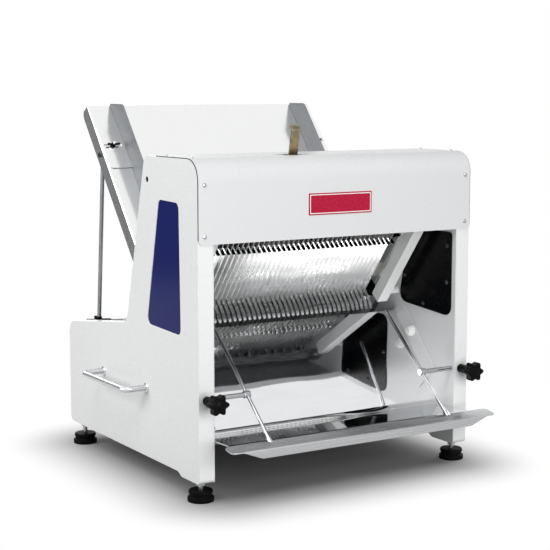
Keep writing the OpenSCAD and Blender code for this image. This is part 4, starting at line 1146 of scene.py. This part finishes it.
def makeFloor():
    bm = bmesh.new()
    bmesh.ops.create_grid(bm, x_segments=1, y_segments=1, size=studio["floor"] / 2)
    material, tree, shader = startMaterial("floorShadeToWhite", studio["floorShadeHex"], 0.0, 0.9, 0.1)
    # the floor is grey round the machine's footprint, painted shade that deepens the machine's shadow; away from the
    # footprint the sheet runs out into the white background
    place = addNode(tree, "ShaderNodeTexCoord").outputs["Object"]
    spread = vectorStep(tree, "ABSOLUTE", vectorStep(tree, "SUBTRACT", place, studio["shadeAt"]))
    outside = vectorStep(tree, "MAXIMUM", vectorStep(tree, "SUBTRACT", spread, studio["shadeHalf"]), (0, 0, 0))
    reach = addNode(tree, "ShaderNodeVectorMath", {0: outside}, operation="LENGTH")
    low, high = studio["clear"]
    far = addNode(tree, "ShaderNodeMapRange", {"Value": reach.outputs["Value"], "From Min": low, "From Max": high},
                  interpolation_type="SMOOTHSTEP")
    share = addNode(tree, "ShaderNodeMath", {0: far.outputs["Result"], 1: straightRays(tree)}, operation="MULTIPLY")
    white = addNode(tree, "ShaderNodeEmission", {"Color": (1, 1, 1, 1), "Strength": 1.0})
    mixed = addNode(tree, "ShaderNodeMixShader", {0: share.outputs[0], 1: shader.outputs[0], 2: white.outputs[0]})
    tree.links.new(mixed.outputs[0], tree.nodes["Material Output"].inputs["Surface"])
    floor = meshObject("studioFloor", bm, material)


def makeCard():
    # a grey card behind and left of the machine, which only the polished metal shows
    bm = bmesh.new()
    turn = Vector(studio["cardAt"]).to_track_quat("Z", "Y").to_matrix().to_4x4()
    place = Matrix.Translation(studio["cardAt"]) @ turn @ Matrix.Diagonal((*studio["cardSize"], 1, 1))
    bmesh.ops.create_grid(bm, x_segments=1, y_segments=1, size=0.5, matrix=place)
    card = meshObject("greyCard", bm, startMaterial("paperGrey", studio["cardHex"], 0.0, 0.9, 0.1)[0])
    card.visible_camera = card.visible_diffuse = card.visible_shadow = False


def makeWorld():
    world = bpy.data.worlds.new("studioWorld")
    bpy.context.scene.world = world
    world.use_nodes = True
    tree = world.node_tree
    tree.nodes.clear()
    level = addNode(tree, "ShaderNodeMapRange", {"Value": straightRays(tree), "To Min": studio["skyLight"],
                                                 "To Max": 1.0})
    sky = addNode(tree, "ShaderNodeBackground", {"Color": (1, 1, 1, 1), "Strength": level.outputs["Result"]})
    addNode(tree, "ShaderNodeOutputWorld", {"Surface": sky.outputs["Background"]})


def areaLight(name, place, target, size, power):
    data = bpy.data.lights.new(name, "AREA")
    data.size = size
    data.energy = power
    lamp = bpy.data.objects.new(name, data)
    lamp.location = place
    lamp.rotation_euler = (Vector(target) - Vector(place)).to_track_quat("-Z", "Y").to_euler()
    bpy.context.scene.collection.objects.link(lamp)


def makeCamera():
    data = bpy.data.cameras.new("photoCamera")
    data.sensor_width = photoCamera["sensor"]
    data.lens = data.sensor_width * photoCamera["focalPixels"] / photoCamera["frame"]
    data.clip_end = photoCamera["clipEnd"]
    camera = bpy.data.objects.new("photoCamera", data)
    camera.location = toFrame @ Vector(photoCamera["place"])
    camera.rotation_euler = (math.radians(90 - photoCamera["pitch"]), 0, math.radians(-photoCamera["yaw"]))
    bpy.context.scene.collection.objects.link(camera)
    bpy.context.scene.camera = camera


makeFloor()
makeCard()
makeWorld()
for lampName, settings in lamps.items():
    areaLight(lampName, *settings)
makeCamera()
bpy.context.scene.view_settings.view_transform = "Standard"
print("studio made")
